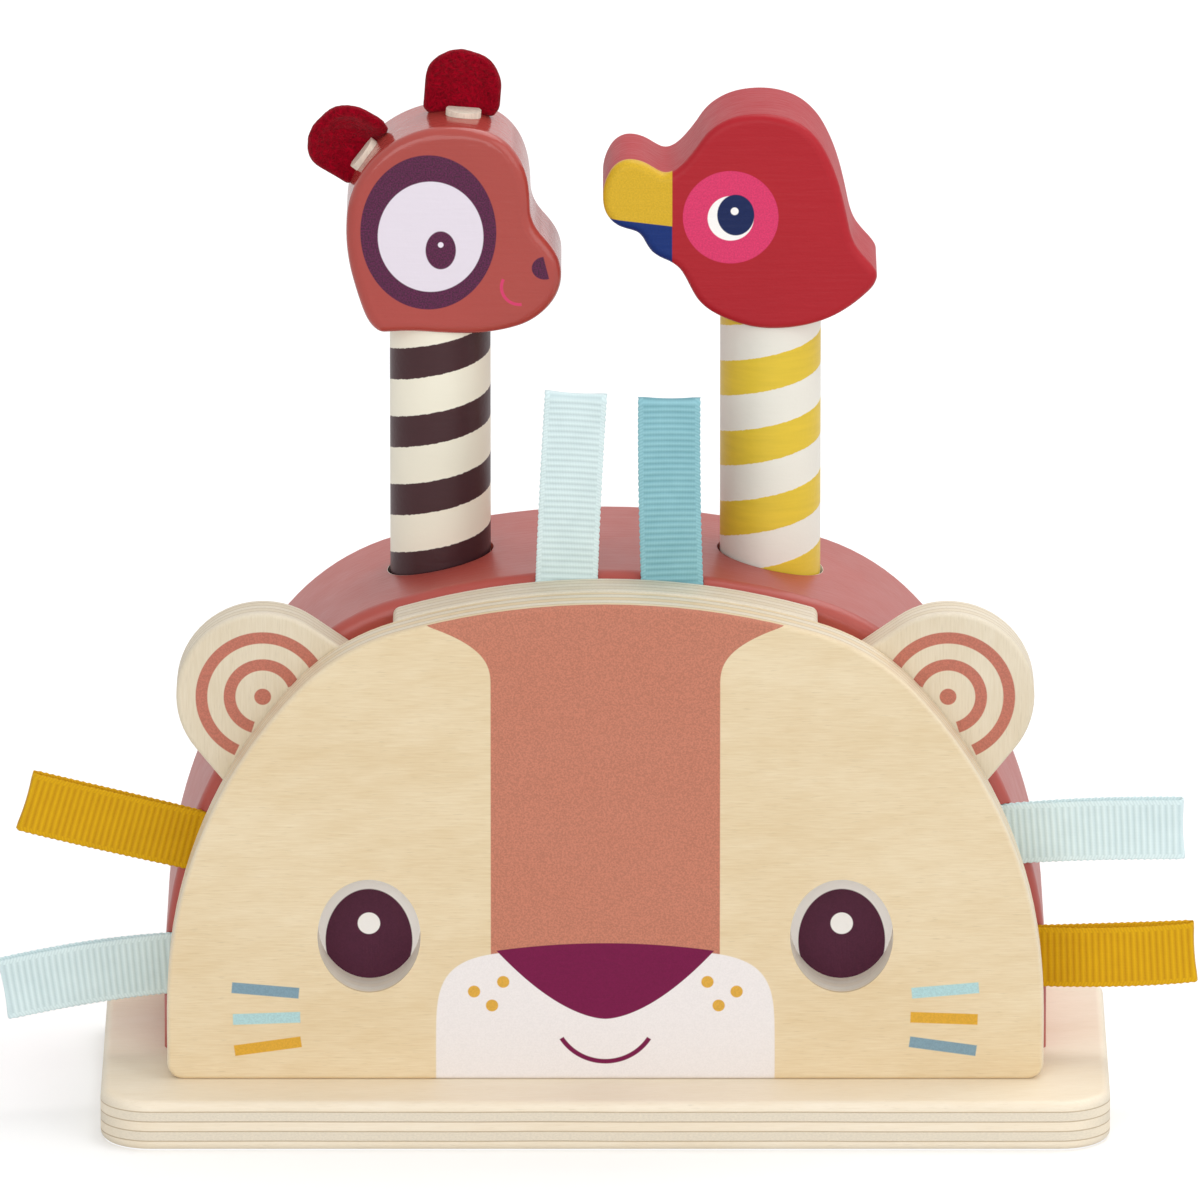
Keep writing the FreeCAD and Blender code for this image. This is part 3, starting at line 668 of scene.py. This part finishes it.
def ribbon_line(length, lean, front_belly, back_belly, step):
    """Side view of a folded ribbon as distance out and depth: a cubic curve for each layer and
    half a circle for the fold between them, in points a step apart."""
    mid = RIBBON_FOLDED / 2
    layer = mid - RIBBON_LAYER / 2 - RIB_HEIGHT
    near = length * LOOP_NEAR
    far = length * LOOP_FAR
    end = np.array([length - FOLD_RADIUS, mid - lean])
    leaning = mid - lean * LOOP_LEAN
    out = [(-RIBBON_TAIL, mid - layer / 2), (near, mid - layer / 2 - front_belly),
           (far, leaning - front_belly), (end[0], end[1] - FOLD_RADIUS)]
    home = [(end[0], end[1] + FOLD_RADIUS), (far, leaning + back_belly),
            (near, mid + layer / 2 + back_belly), (-RIBBON_TAIL, mid + layer / 2)]
    share = np.linspace(0, 1, LAYER_POINTS)
    angle = np.linspace(-np.pi / 2, np.pi / 2, FOLD_POINTS)[1:-1]
    fold = end + FOLD_RADIUS * np.stack([np.cos(angle), np.sin(angle)], axis=-1)
    line = np.concatenate([bend(out, share), fold, bend(home, share)])
    distance = np.concatenate([[0], np.cumsum(np.linalg.norm(np.diff(line, axis=0), axis=1))])
    even = np.arange(0, distance[-1], step)
    return np.stack([np.interp(even, distance, line[:, k]) for k in range(2)], axis=-1), even


def ribbon_points(root, root_angle, end_angle, length, lean, bellies, width, pitch):
    """Grosgrain: a ribbon's cross-section carried along the side view of its loop. Its thickness
    rises with a power of the cosine once a pitch and falls away to both edges, it hollows with the
    square of the way across, and the line it follows turns evenly from its root to its end."""
    line, along = ribbon_line(length, lean, *bellies, pitch / RIB_POINTS)
    tangent = np.gradient(line, axis=0)
    tangent /= np.linalg.norm(tangent, axis=1, keepdims=True)
    normal = np.stack([tangent[:, 1], -tangent[:, 0]], axis=-1)
    half = width / 2
    share = np.linspace(-1, 1, RIBBON_POINTS)
    across = half * (CROWDING * np.sin(share * np.pi / 2) + (1 - CROWDING) * share)
    rib = np.abs(np.cos(np.pi * along / pitch)) ** RIB_FULLNESS
    body = np.clip((half - SELVEDGE - np.abs(across)) / SELVEDGE + 0.5, 0, 1)
    rise = RIB_HEIGHT * (rib[:, None] * (SELVEDGE_RIB + (1 - SELVEDGE_RIB) * body[None]) - 0.5)
    round_edge = np.clip(1 - (np.abs(across) / half) ** SELVEDGE_POWER, 0.12, 1) ** 0.5
    half_thick = (RIBBON_LAYER / 2 + rise) * round_edge[None]
    hollow = np.sin(along / along[-1] * np.pi)[:, None] * RIBBON_HOLLOW * (across / half)[None] ** 2
    faces = []
    for sign in (1, -1):
        place = line[:, None, :] + normal[:, None, :] * (sign * half_thick + hollow)[..., None]
        faces.append(place[:, ::sign])
    section = np.concatenate(faces, axis=1)
    loops = 1 + LOOP_REACH / half * np.cos(2 * np.pi * along / pitch)
    aside = np.concatenate([across, across[::-1]])[None] * loops[:, None]
    out = section[..., 0]
    turn = np.radians(root_angle + (end_angle - root_angle) * np.clip(out / length, 0, 1))
    mean = (np.radians(root_angle) + turn) / 2
    x = root[0] + out * np.cos(mean) - aside * np.sin(turn)
    z = DECK + root[1] + out * np.sin(mean) + aside * np.cos(turn)
    points = np.stack([x, BLOCK_LOW[1] + section[..., 1], z], axis=-1)
    values = {"along": along[:, None].repeat(section.shape[1], axis=1), "across": aside}
    return points, values, along[-1]


def ribbon_cloth(name, colour, width, pitch):
    """Woven polyester grosgrain, which looks ribbed across, with painted shade deepening the colour in its
    grooves, a soft shine, and darker slanted lines for the small turns of the weft at both selvedges."""
    material, shader, fields = start(name)
    tree = shader.id_data
    along = Field(tree, node(tree, "ShaderNodeAttribute", attribute_name="along").outputs["Fac"])
    across = Field(tree, node(tree, "ShaderNodeAttribute", attribute_name="across").outputs["Fac"])
    rib = abs((along / pitch).step("FRACT") - 0.5) * 2.0
    warp = abs((across / WARP_PITCH).step("FRACT") - 0.5) * 2.0
    turns = abs(((along * 2 + abs(across)) / pitch).step("FRACT") - 0.5) * 2.0
    edge = within(width / 2 - SELVEDGE - abs(across), 0.2)
    # Painted shade in the grooves between the ribs; at the selvedges, darker slanted lines between the
    # weft's turns
    groove_shade_and_turns = (1 - rib) * 0.6 * (1 - edge) + (1 - turns) * 0.35 * edge
    uneven = blotches(fields, (5.0, 5.0, 5.0), 3.0) - 0.5
    tone = (groove_shade_and_turns + warp * 0.14 + uneven * 0.4 + 0.05).clamped()
    # Darker, deeper copy of the colour: painted shade in the grooves, and the tone of the warp threads and
    # uneven weave
    shade_and_weave_tint = tuple(share ** 1.45 for share in colour)
    cloth = layered(shade(colour, 1.04), (tone, shade(shade_and_weave_tint, 0.72)))
    height = warp * -0.02 + blotches(fields, (0.3, 0.3, 0.3), 1.0) * 0.01
    finish_with(shader, cloth, 0.6, height, Specular_IOR_Level=0.2, Sheen_Weight=0.05, Sheen_Roughness=0.4)
    return material


def felt_points(foot, lean, bend_radius, flat_part, curl, width, length, thickness):
    """Felt tongue: rings from the middle of its front round its rim to the middle of its back, each
    an oval above and squarer below, on a sheet that is flat and then bends round a cylinder. It
    also hollows with the square of the way across, and its faces are made uneven by sines."""
    half = thickness / 2
    face = np.linspace(0.02, 1.0, FELT_RINGS)
    rim = np.linspace(np.pi / 2, -np.pi / 2, FELT_RIM)[1:-1]
    inset = np.concatenate([np.zeros(FELT_RINGS), np.cos(rim), np.zeros(FELT_RINGS)]) * half
    share = np.concatenate([face, np.ones(len(rim)), face[::-1]])
    offset = np.concatenate([np.full(FELT_RINGS, half), np.sin(rim) * half, np.full(FELT_RINGS, -half)])
    angle = np.linspace(0, 2 * np.pi, FELT_SIDES, endpoint=False)
    above = np.sin(angle) > 0
    power = np.where(above, 1.0, FELT_FOOT_POWER)
    ring_a = np.sign(np.cos(angle)) * np.abs(np.cos(angle)) ** power
    ring_u = np.sign(np.sin(angle)) * np.abs(np.sin(angle)) ** power
    middle = length * FELT_MIDDLE
    tall = np.where(above, length - middle, middle)
    waver = 1 + 0.02 * np.sin(3 * angle + 1.0) + 0.012 * np.sin(7 * angle + 2.0)
    a = (share[:, None] * (width / 2 - half) * waver + inset[:, None]) * ring_a
    u = middle + (share[:, None] * (tall - half) * waver + inset[:, None]) * ring_u

    def sheet(a, u):
        turn = np.maximum(u - flat_part, 0) / bend_radius
        height = np.minimum(u, flat_part) + bend_radius * np.sin(turn)
        forward = bend_radius * (1 - np.cos(turn)) + FELT_HOLLOW * a * a + curl * np.maximum(a - 1, 0) ** 2
        return np.stack([a, -forward, height], axis=-1)

    over = sheet(a + FELT_STEP, u) - sheet(a - FELT_STEP, u)
    upward = sheet(a, u + FELT_STEP) - sheet(a, u - FELT_STEP)
    normal = np.cross(over, upward)
    normal /= np.linalg.norm(normal, axis=-1, keepdims=True)
    lumps = 0.035 * np.sin(2.3 * a + 1.7 * u) + 0.025 * np.sin(5.1 * u - 3.3 * a + 0.7)
    lumps += 0.015 * np.sin(11 * a + 9 * u)
    out = offset[:, None] + np.sign(offset)[:, None] * lumps
    local = sheet(a, u) + normal * out[..., None]
    turn = math.radians(lean - 90)
    x = ROD_LEFT[0] + foot[0] + local[..., 0] * math.cos(turn) - local[..., 2] * math.sin(turn)
    z = foot[1] + local[..., 0] * math.sin(turn) + local[..., 2] * math.cos(turn)
    return np.stack([x, ROD_LEFT[1] + FELT_BACK + local[..., 1], z], axis=-1)


def felt(name, colour):
    """Pressed wool felt, which looks matt and fuzzy, with matted fibres that run every way."""
    material, shader, (x, y, z) = start(name)
    strayed = blotches((x, y, z), (2.0, 2.0, 2.0), 2.0) * 3.0
    fibre = blotches((x + strayed, y, z - strayed), (1.3, 0.32, 0.32), 3.0, 0.65)
    other = blotches((x - strayed, y, z + strayed), (0.32, 0.32, 1.3), 3.0, 0.65)
    matted = largest(fibre, other)
    cloth = layered(shade(colour, 0.5), (spread(matted - 0.05, 3.2), shade(colour, 1.45)))
    finish_with(
        shader, cloth, 0.95, matted * 0.3, Specular_IOR_Level=0.05, Sheen_Weight=0.08, Sheen_Roughness=0.5
    )
    return material


def colour_property(name, description, code):
    return FloatVectorProperty(
        name=name, description=description, subtype="COLOR", size=3, min=0.0, max=1.0, default=linear(code)
    )


def length_property(name, description, millimetres):
    return FloatProperty(
        name=name, description=description, subtype="DISTANCE", unit="LENGTH", default=millimetres * MM
    )


def power_property(name, description, watts):
    return FloatProperty(name=name, description=description, unit="POWER", default=watts)


class ToyWood(bpy.types.PropertyGroup):
    """Colours of bare wood."""
    veneer: colour_property("Veneer", "Light streaks of birch veneer", 0xF1E0BF)
    veneer_dark: colour_property("Veneer shade", "Dark streaks of birch veneer", 0xE0C79C)
    base_veneer: colour_property("Base veneer", "Light streaks of the base's veneer", 0xFDF1DC)
    base_veneer_dark: colour_property("Base veneer shade", "Dark streaks of the base's veneer", 0xF3E3C8)
    ear_veneer: colour_property("Ear veneer", "Light streaks of the ears' veneer", 0xEDE2CC)
    ear_veneer_dark: colour_property("Ear veneer shade", "Dark streaks of the ears' veneer", 0xDDCEB2)
    end_grain: colour_property("End grain", "Sawn ends of the cross plies", 0xEADFCB)
    # Painted light: a near white laid over the sanded walls of the eye openings, lighting up their recess
    opening_light: colour_property("Opening", "Sanded edge of the eye openings", 0xFFFBF2)
    glue: colour_property("Glue line", "Lines between the plies", 0xAE9166)
    beech: colour_property("Beech", "Turned beech of the collars and plugs", 0xF6EDDA)


class ToyPaint(bpy.types.PropertyGroup):
    """Colours of the paint."""
    block: colour_property("Block", "Brick red of the block", 0xB04C42)
    lemur: colour_property("Lemur", "Russet of the lemur's head", 0xB04840)
    parrot: colour_property("Parrot", "Red of the parrot's head", 0xB01C28)
    left_ground: colour_property("Left rod", "Cream of the left rod", 0xF6F1DE)
    left_stripe: colour_property("Left stripe", "Dark brown of the left rod's stripes", 0x44262A)
    right_ground: colour_property("Right rod", "White of the right rod", 0xF0EDE2)
    right_stripe: colour_property("Right stripe", "Yellow of the right rod's stripes", 0xE6C63C)


class ToyMetal(bpy.types.PropertyGroup):
    """Colours of the metal."""
    wire: colour_property("Wire", "Bright streaks of the springs' wire", 0xC4C5C8)
    wire_dark: colour_property("Wire shade", "Dark streaks of the springs' wire", 0x9A9A9E)
    zinc: colour_property("Zinc", "Light zinc of the screws", 0xD5D8DA)
    zinc_dark: colour_property("Zinc shade", "Dull zinc of the screws", 0xA9ADB0)


class ToyInks(bpy.types.PropertyGroup):
    """Colours of the print."""
    band: colour_property("Band", "Brown band on the face", 0xC1755F)
    nose: colour_property("Nose", "Plum of the nose and mouth", 0x750B43)
    muzzle: colour_property("Muzzle", "Pale ground of the muzzle", 0xF1ECEC)
    gold: colour_property("Gold", "Gold dots and dashes", 0xDDA72C)
    steel_blue: colour_property("Steel blue", "Darker blue dashes", 0x7A9CAE)
    pale_blue: colour_property("Pale blue", "Lighter blue dashes", 0xAFD6DA)
    eye_white: colour_property("Eye", "White of the eyes", 0xF6F3F0)
    pupil: colour_property("Pupil", "Dark plum of the pupils", 0x501F37)
    ear_mark: colour_property("Ear arcs", "Arcs on the ears", 0xBD6B59)
    lemur_patch: colour_property("Lemur patch", "Plum patch round the lemur's eye", 0x530A3C)
    lemur_eye: colour_property("Lemur eye", "Lilac white of the lemur's eye", 0xEAE1EC)
    pink: colour_property("Pink", "Pink patch and smile", 0xDC386A)
    navy: colour_property("Navy", "Parrot's pupil", 0x0B1F52)
    beak: colour_property("Upper beak", "Yellow of the upper beak", 0xD9AF28)
    lower_beak: colour_property("Lower beak", "Blue of the lower beak", 0x072C72)


class ToyCloth(bpy.types.PropertyGroup):
    """Sizes and colours of the ribbons and the felt."""
    ribbon_width: length_property("Ribbon width", "Selvedge to selvedge", 11.0)
    rib_pitch: length_property("Rib pitch", "From one cord of the grosgrain to the next", 1.15)
    pale_blue: colour_property("Pale blue", "Pale blue ribbon", 0xE7F9FB)
    teal: colour_property("Teal", "Teal ribbon", 0x9DD0DA)
    mustard: colour_property("Mustard", "Mustard ribbon", 0xE4B205)
    felt: colour_property("Felt", "Red felt", 0x92001A)
    felt_width: length_property("Felt width", "Across an ear", 13.6)
    felt_length: length_property("Felt length", "From the head to an ear's tip", 12.5)
    felt_thickness: length_property("Felt thickness", "Of the sheet the ears are cut from", 2.2)


class ToyStage(bpy.types.PropertyGroup):
    """Camera and light."""
    elevation: FloatProperty(
        name="Elevation", description="Camera above the horizon", subtype="ANGLE", default=math.radians(16)
    )
    distance: length_property("Distance", "From the camera to the toy", 4100.0)
    lens: FloatProperty(name="Lens", description="Focal length in mm", default=688.8)
    key: power_property("Key", "Main light, from the left", 11.5)
    front: power_property("Front", "Light beside the camera", 6.0)
    fill: power_property("Fill", "Light from the right", 9.0)
    top: power_property("Top", "Light from above and behind", 20.0)
    sky: FloatProperty(name="Sky", description="Even light from all round", default=0.52)


class TOY_OT_boards(bpy.types.Operator):
    """Gives the three boards their plywood and print"""
    bl_idname = "toy.boards"
    bl_label = "Boards"

    def execute(self, context):
        wood = context.scene.toy_wood
        inks = context.scene.toy_inks
        # Clear-lacquered birch plywood looks pale, close-grained and nearly matt, and printed it
        # looks the same, with flat inks that let its relief through
        boards = {
            "base_board": ("Lacquered birch plywood", (0, 1, 2), BASE_LOW, "base_veneer", 0.4),
            "face_board": ("Printed birch plywood, face", (0, 2, 1), FACE_LOW, "veneer", 0.22),
            "ear_board": ("Printed birch plywood, ears", (2, 0, 1), EARS_LOW, "ear_veneer", 0.22),
        }
        for name, (title, axes, low, tint, shine) in boards.items():
            material, shader, fields = start(title)
            light, dark = getattr(wood, tint), getattr(wood, tint + "_dark")
            colour, height = birch(fields, axes, low, light, dark, wood)
            if name == "face_board":
                colour = face_print(fields, colour, inks, wood.opening_light)
            elif name == "ear_board":
                colour = ear_print(fields, colour, inks)
            finish_with(shader, colour, 0.5, height, Specular_IOR_Level=shine)
            dress(name, material)
        return {"FINISHED"}


class TOY_OT_block(bpy.types.Operator):
    """Paints the block outside and leaves its bores bare"""
    bl_idname = "toy.block"
    bl_label = "Block"

    def execute(self, context):
        # Satin acrylic paint, sprayed, looks even, with a broad soft shine
        made = paint("Satin acrylic paint, brick", context.scene.toy_paint.block, 0.36, 0.03)
        material, shader, fields, coat, gloss, height = made
        x, y, z = fields
        to_bore = from_centre(abs(x), y, ROD_RIGHT[:2]) - (ROD_RADIUS + BORE_CLEARANCE)
        bore = within(to_bore, 0.05) * within(z - BLOCK_HIGH[2] + PAINTED_RIM, 1.5)
        colour = layered(coat, (bore, bare_beech(fields, context.scene.toy_wood.beech)))
        finish_with(shader, colour, gloss, height)
        dress("body_block", material)
        return {"FINISHED"}


class TOY_OT_rods(bpy.types.Operator):
    """Paints the rods' spiral stripes and leaves the collars and plugs bare"""
    bl_idname = "toy.rods"
    bl_label = "Rods, collars and plugs"

    def execute(self, context):
        settings = context.scene.toy_paint
        tone = context.scene.toy_wood.beech
        tints = {
            "left": (ROD_LEFT, settings.left_ground, settings.left_stripe),
            "right": (ROD_RIGHT, settings.right_ground, settings.right_stripe),
        }
        for side, (axis, ground, stripe) in tints.items():
            # Satin acrylic paint, its stripes brushed on, looks smooth with slightly ragged edges
            made = paint("Satin acrylic paint, stripes " + side, ground, 0.38, 0.03)
            material, shader, fields, coat, gloss, height = made
            x, y, z = fields
            pitch, width, middle = STRIPES[side]
            turn = (y - axis[1]).step("ARCTAN2", x - axis[0])
            climb = (z - middle) / pitch - (turn + math.pi / 2) / (2 * math.pi)
            ragged = (blotches(fields, (0.8, 0.8, 0.8), 2.0) - 0.5) * STRIPE_RAG
            edge = abs((climb + 0.5).step("FRACT") - 0.5) * pitch - width / 2 + ragged
            streaks = spread(blotches(fields, BRUSHED, 2.0), 2.5)
            band = layered(shade(stripe, 0.96), (streaks, shade(stripe, 1.04)))
            bare = within(from_centre(x, y, axis[:2]) - ROD_RADIUS + BARE_DEPTH, 0.2)
            colour = layered(coat, (within(edge, 0.12), band), (bare, bare_beech(fields, tone)))
            raised = height + within(edge, 0.4) * STRIPE_RISE
            finish_with(shader, colour, gloss, raised, Specular_IOR_Level=0.3)
            dress("rod_" + side, material)
        # Turned beech, left bare, looks pale and matt, with short darker flecks
        material, shader, fields = start("Bare turned beech")
        finish_with(shader, bare_beech(fields, tone), 0.62, blotches(fields, BEECH_FIBRE, 2.0) * 0.04)
        for name in ("stop_collar_left", "stop_collar_right", "ear_plug_front", "ear_plug_back"):
            dress(name, material)
        return {"FINISHED"}


class TOY_OT_springs(bpy.types.Operator):
    """Winds the two springs and plates the screws"""
    bl_idname = "toy.springs"
    bl_label = "Springs and screws"

    def execute(self, context):
        metal = context.scene.toy_metal
        # Drawn spring steel is a dark bright metal with fine streaks along the wire
        material, shader, fields = start("Drawn spring steel")
        drawn = blotches(fields, (0.2, 0.2, 3.0), 2.0)
        colour = layered(shade(metal.wire_dark), (drawn, shade(metal.wire)))
        finish_with(shader, colour, 0.3, drawn * 0.01, Metallic=1.0)
        for side, axis in (("left", ROD_LEFT), ("right", ROD_RIGHT)):
            name = "spring_" + side
            mesh = surface(name + "_wire", wire_points(SPRING_LOW[2], SPRING_HIGH[2], axis))
            made = piece(name + "_wire", mesh, material, side + "_turn", name)
            anchor = (axis[0] * MM, axis[1] * MM, SPRING_LOW[2] * MM)
            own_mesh(made)
        # Zinc-plated steel is a pale metal, a little cloudy
        material, shader, fields = start("Zinc-plated steel")
        bloom = blotches(fields, (1.2, 1.2, 1.2), 3.0)
        colour = layered(shade(metal.zinc_dark), (bloom, shade(metal.zinc)))
        finish_with(shader, colour, (bloom - 0.5) * 0.3 + 0.34, bloom * 0.01, Metallic=1.0)
        dress("base_screws", material)
        return {"FINISHED"}


class TOY_OT_heads(bpy.types.Operator):
    """Paints and prints the two heads"""
    bl_idname = "toy.heads"
    bl_label = "Heads"

    def execute(self, context):
        settings = context.scene.toy_paint
        inks = context.scene.toy_inks
        # Gloss acrylic paint under clear lacquer looks wet along the rounded edges
        made = paint("Gloss acrylic paint, russet", settings.lemur, 0.2, 0.05)
        material, shader, fields, coat, gloss, height = made
        colour = lemur_print(fields, coat, inks)
        lacquer = {"Specular_IOR_Level": 0.3, "Coat_Weight": 0.3, "Coat_Roughness": 0.08}
        finish_with(shader, colour, gloss, height, **lacquer)
        dress("lemur_head", material)
        # Satin acrylic paint, brushed, looks softer and shows the sanded wood
        made = paint("Satin acrylic paint, red", settings.parrot, 0.42, 0.06)
        material, shader, fields, coat, gloss, height = made
        finish_with(shader, parrot_print(fields, coat, inks), gloss, height, Specular_IOR_Level=0.25)
        dress("parrot_head", material)
        return {"FINISHED"}


class TOY_OT_felt(bpy.types.Operator):
    """Cuts and bends the lemur's felt ears"""
    bl_idname = "toy.felt"
    bl_label = "Felt ears"

    def execute(self, context):
        cloth = context.scene.toy_cloth
        material = felt("Pressed wool felt", cloth.felt)
        width = cloth.felt_width / MM
        length = cloth.felt_length / MM
        for side, shape in FELT_EARS.items():
            name = "felt_ear_" + side
            mesh = surface(name + "_cloth", felt_points(*shape, width, length, cloth.felt_thickness / MM))
            made = piece(name + "_cloth", mesh, material, "left_peg", name)
        return {"FINISHED"}


class TOY_OT_ribbons(bpy.types.Operator):
    """Weaves and folds the six ribbon loops"""
    bl_idname = "toy.ribbons"
    bl_label = "Ribbon loops"

    def execute(self, context):
        cloth = context.scene.toy_cloth
        width = cloth.ribbon_width / MM
        pitch = cloth.rib_pitch / MM
        materials = {}
        for tint in RIBBON_SLOTS:
            name = "Polyester grosgrain, " + tint.replace("_", " ")
            materials[tint] = ribbon_cloth(name, getattr(cloth, tint), width, pitch)
        for name, (tint, *shape, front, back) in RIBBONS.items():
            points, values, total = ribbon_points(*shape, (front, back), width, pitch)
            mesh = surface(name + "_cloth", points, values)
            made = piece(name + "_cloth", mesh, materials[tint], "root", name)
            total * MM
        return {"FINISHED"}


class TOY_OT_stage(bpy.types.Operator):
    """Sets the floor, the white surround, the lights and the camera"""
    bl_idname = "toy.stage"
    bl_label = "Stage"

    def execute(self, context):
        stage = context.scene.toy_stage
        self.floor(context.scene)
        self.surround(context.scene, stage.sky)
        for name, (place, size) in LIGHTS.items():
            self.light(context.scene, name.title(), Vector(place) * MM, size * MM, getattr(stage, name))
        self.camera(context.scene, stage)
        context.scene.view_settings.view_transform = "Standard"
        return {"FINISHED"}

    def floor(self, scene):
        """Disc just below the base with a hole of the base's own outline, which lets light reach its
        underside: the hole's rim and the disc's are each a radius carried round, and the hole's is
        moved out by half the base's straight sides."""
        turn = np.radians(np.arange(FLOOR_STEP / 2, 360, FLOOR_STEP))
        outward = np.stack([np.cos(turn), np.sin(turn)], axis=-1)
        half = BASE_HIGH[:2] - FLOOR_LAP - BASE_CORNER
        inner = np.sign(outward) * half + outward * BASE_CORNER
        flat = np.concatenate([inner, outward * FLOOR_REACH])
        points = np.column_stack([flat, np.full(len(flat), -FLOOR_GAP)]) * MM
        count = len(turn)
        sides = [(k, k + count, (k + 1) % count + count, (k + 1) % count) for k in range(count)]
        mesh = bpy.data.meshes.new("floor")
        mesh.from_pydata(points.tolist(), [], sides)
        mesh.materials.append(self.paper())
        made = bpy.data.objects.new("floor", mesh)
        scene.collection.objects.link(made)

    def paper(self):
        """White paper, which looks matt, takes the toy's shadow, and is clear from below."""
        material = bpy.data.materials.new("White paper")
        material.use_nodes = True
        tree = material.node_tree
        shader = tree.nodes["Principled BSDF"]
        shader.inputs["Base Color"].default_value = (PAPER_GREY, PAPER_GREY, PAPER_GREY, 1.0)
        shader.inputs["Roughness"].default_value = 0.9
        shader.inputs["Emission Color"].default_value = (1.0, 1.0, 1.0, 1.0)
        seen = node(tree, "ShaderNodeLightPath").outputs["Is Camera Ray"]
        glow = node(tree, "ShaderNodeMath", {0: seen, 1: PAPER_GLOW}, operation="MULTIPLY")
        tree.links.new(glow.outputs[0], shader.inputs["Emission Strength"])
        below = node(tree, "ShaderNodeNewGeometry").outputs["Backfacing"]
        clear = node(tree, "ShaderNodeBsdfTransparent").outputs[0]
        sided = node(tree, "ShaderNodeMixShader", {0: below, 1: shader.outputs[0], 2: clear})
        tree.links.new(sided.outputs[0], tree.nodes["Material Output"].inputs["Surface"])
        return material

    def surround(self, scene, sky):
        """White where the camera or a reflection sees it, and an even soft light elsewhere."""
        scene.world = bpy.data.worlds.new("Surround")
        scene.world.use_nodes = True
        tree = scene.world.node_tree
        background = tree.nodes["Background"]
        background.inputs["Color"].default_value = (1.0, 1.0, 1.0, 1.0)
        rays = node(tree, "ShaderNodeLightPath").outputs
        seen = Field(tree, rays["Is Camera Ray"])
        through = Field(tree, rays["Is Transmission Ray"])
        mirrored = Field(tree, rays["Is Glossy Ray"]) * SURROUND_SHINE
        strength = largest(largest(largest(seen, through), mirrored), sky)
        tree.links.new(strength.socket, background.inputs["Strength"])

    def light(self, scene, name, place, size, power):
        data = bpy.data.lights.new(name, "AREA")
        data.size = size
        data.energy = power
        made = bpy.data.objects.new(name, data)
        made.location = place
        made.rotation_euler = (Vector(LIGHT_TARGET) * MM - place).to_track_quat("-Z", "Y").to_euler()
        scene.collection.objects.link(made)

    def camera(self, scene, stage):
        back = Vector((0.0, -math.cos(stage.elevation), math.sin(stage.elevation)))
        data = bpy.data.cameras.new("Camera")
        data.lens = stage.lens
        data.sensor_width = SENSOR_WIDTH
        data.shift_y = CAMERA_RISE
        made = bpy.data.objects.new("Camera", data)
        made.location = Vector(CAMERA_TARGET) * MM + back * stage.distance
        made.rotation_euler = (-back).to_track_quat("-Z", "Y").to_euler()
        scene.collection.objects.link(made)
        scene.camera = made


class TOY_PT_panel(bpy.types.Panel):
    """Sizes and colours of the toy, and the steps that dress it"""
    bl_idname = "TOY_PT_panel"
    bl_label = "Pop-up toy"
    bl_space_type = "VIEW_3D"
    bl_region_type = "UI"
    bl_category = "Toy"

    def draw(self, context):
        layout = self.layout
        for group in GROUPS:
            box = layout.box()
            settings = getattr(context.scene, group)
            for key in settings.__annotations__:
                box.prop(settings, key)
        for operator in OPERATORS:
            layout.operator(operator.bl_idname)


GROUPS = {
    "toy_wood": ToyWood,
    "toy_paint": ToyPaint,
    "toy_metal": ToyMetal,
    "toy_inks": ToyInks,
    "toy_cloth": ToyCloth,
    "toy_stage": ToyStage,
}
OPERATORS = (
    TOY_OT_stage,
    TOY_OT_boards,
    TOY_OT_block,
    TOY_OT_rods,
    TOY_OT_springs,
    TOY_OT_heads,
    TOY_OT_felt,
    TOY_OT_ribbons,
)


def register():
    for group in GROUPS.values():
        bpy.utils.register_class(group)
    for operator in OPERATORS:
        bpy.utils.register_class(operator)
    bpy.utils.register_class(TOY_PT_panel)
    for name, group in GROUPS.items():
        setattr(bpy.types.Scene, name, PointerProperty(type=group))


def unregister():
    for name in GROUPS:
        delattr(bpy.types.Scene, name)
    bpy.utils.unregister_class(TOY_PT_panel)
    for operator in reversed(OPERATORS):
        bpy.utils.unregister_class(operator)
    for group in reversed(GROUPS.values()):
        bpy.utils.unregister_class(group)


def main():
    register()
    for operator in OPERATORS:
        group, name = operator.bl_idname.split(".")
        getattr(getattr(bpy.ops, group), name)()


if __name__ == "__main__":
    main()
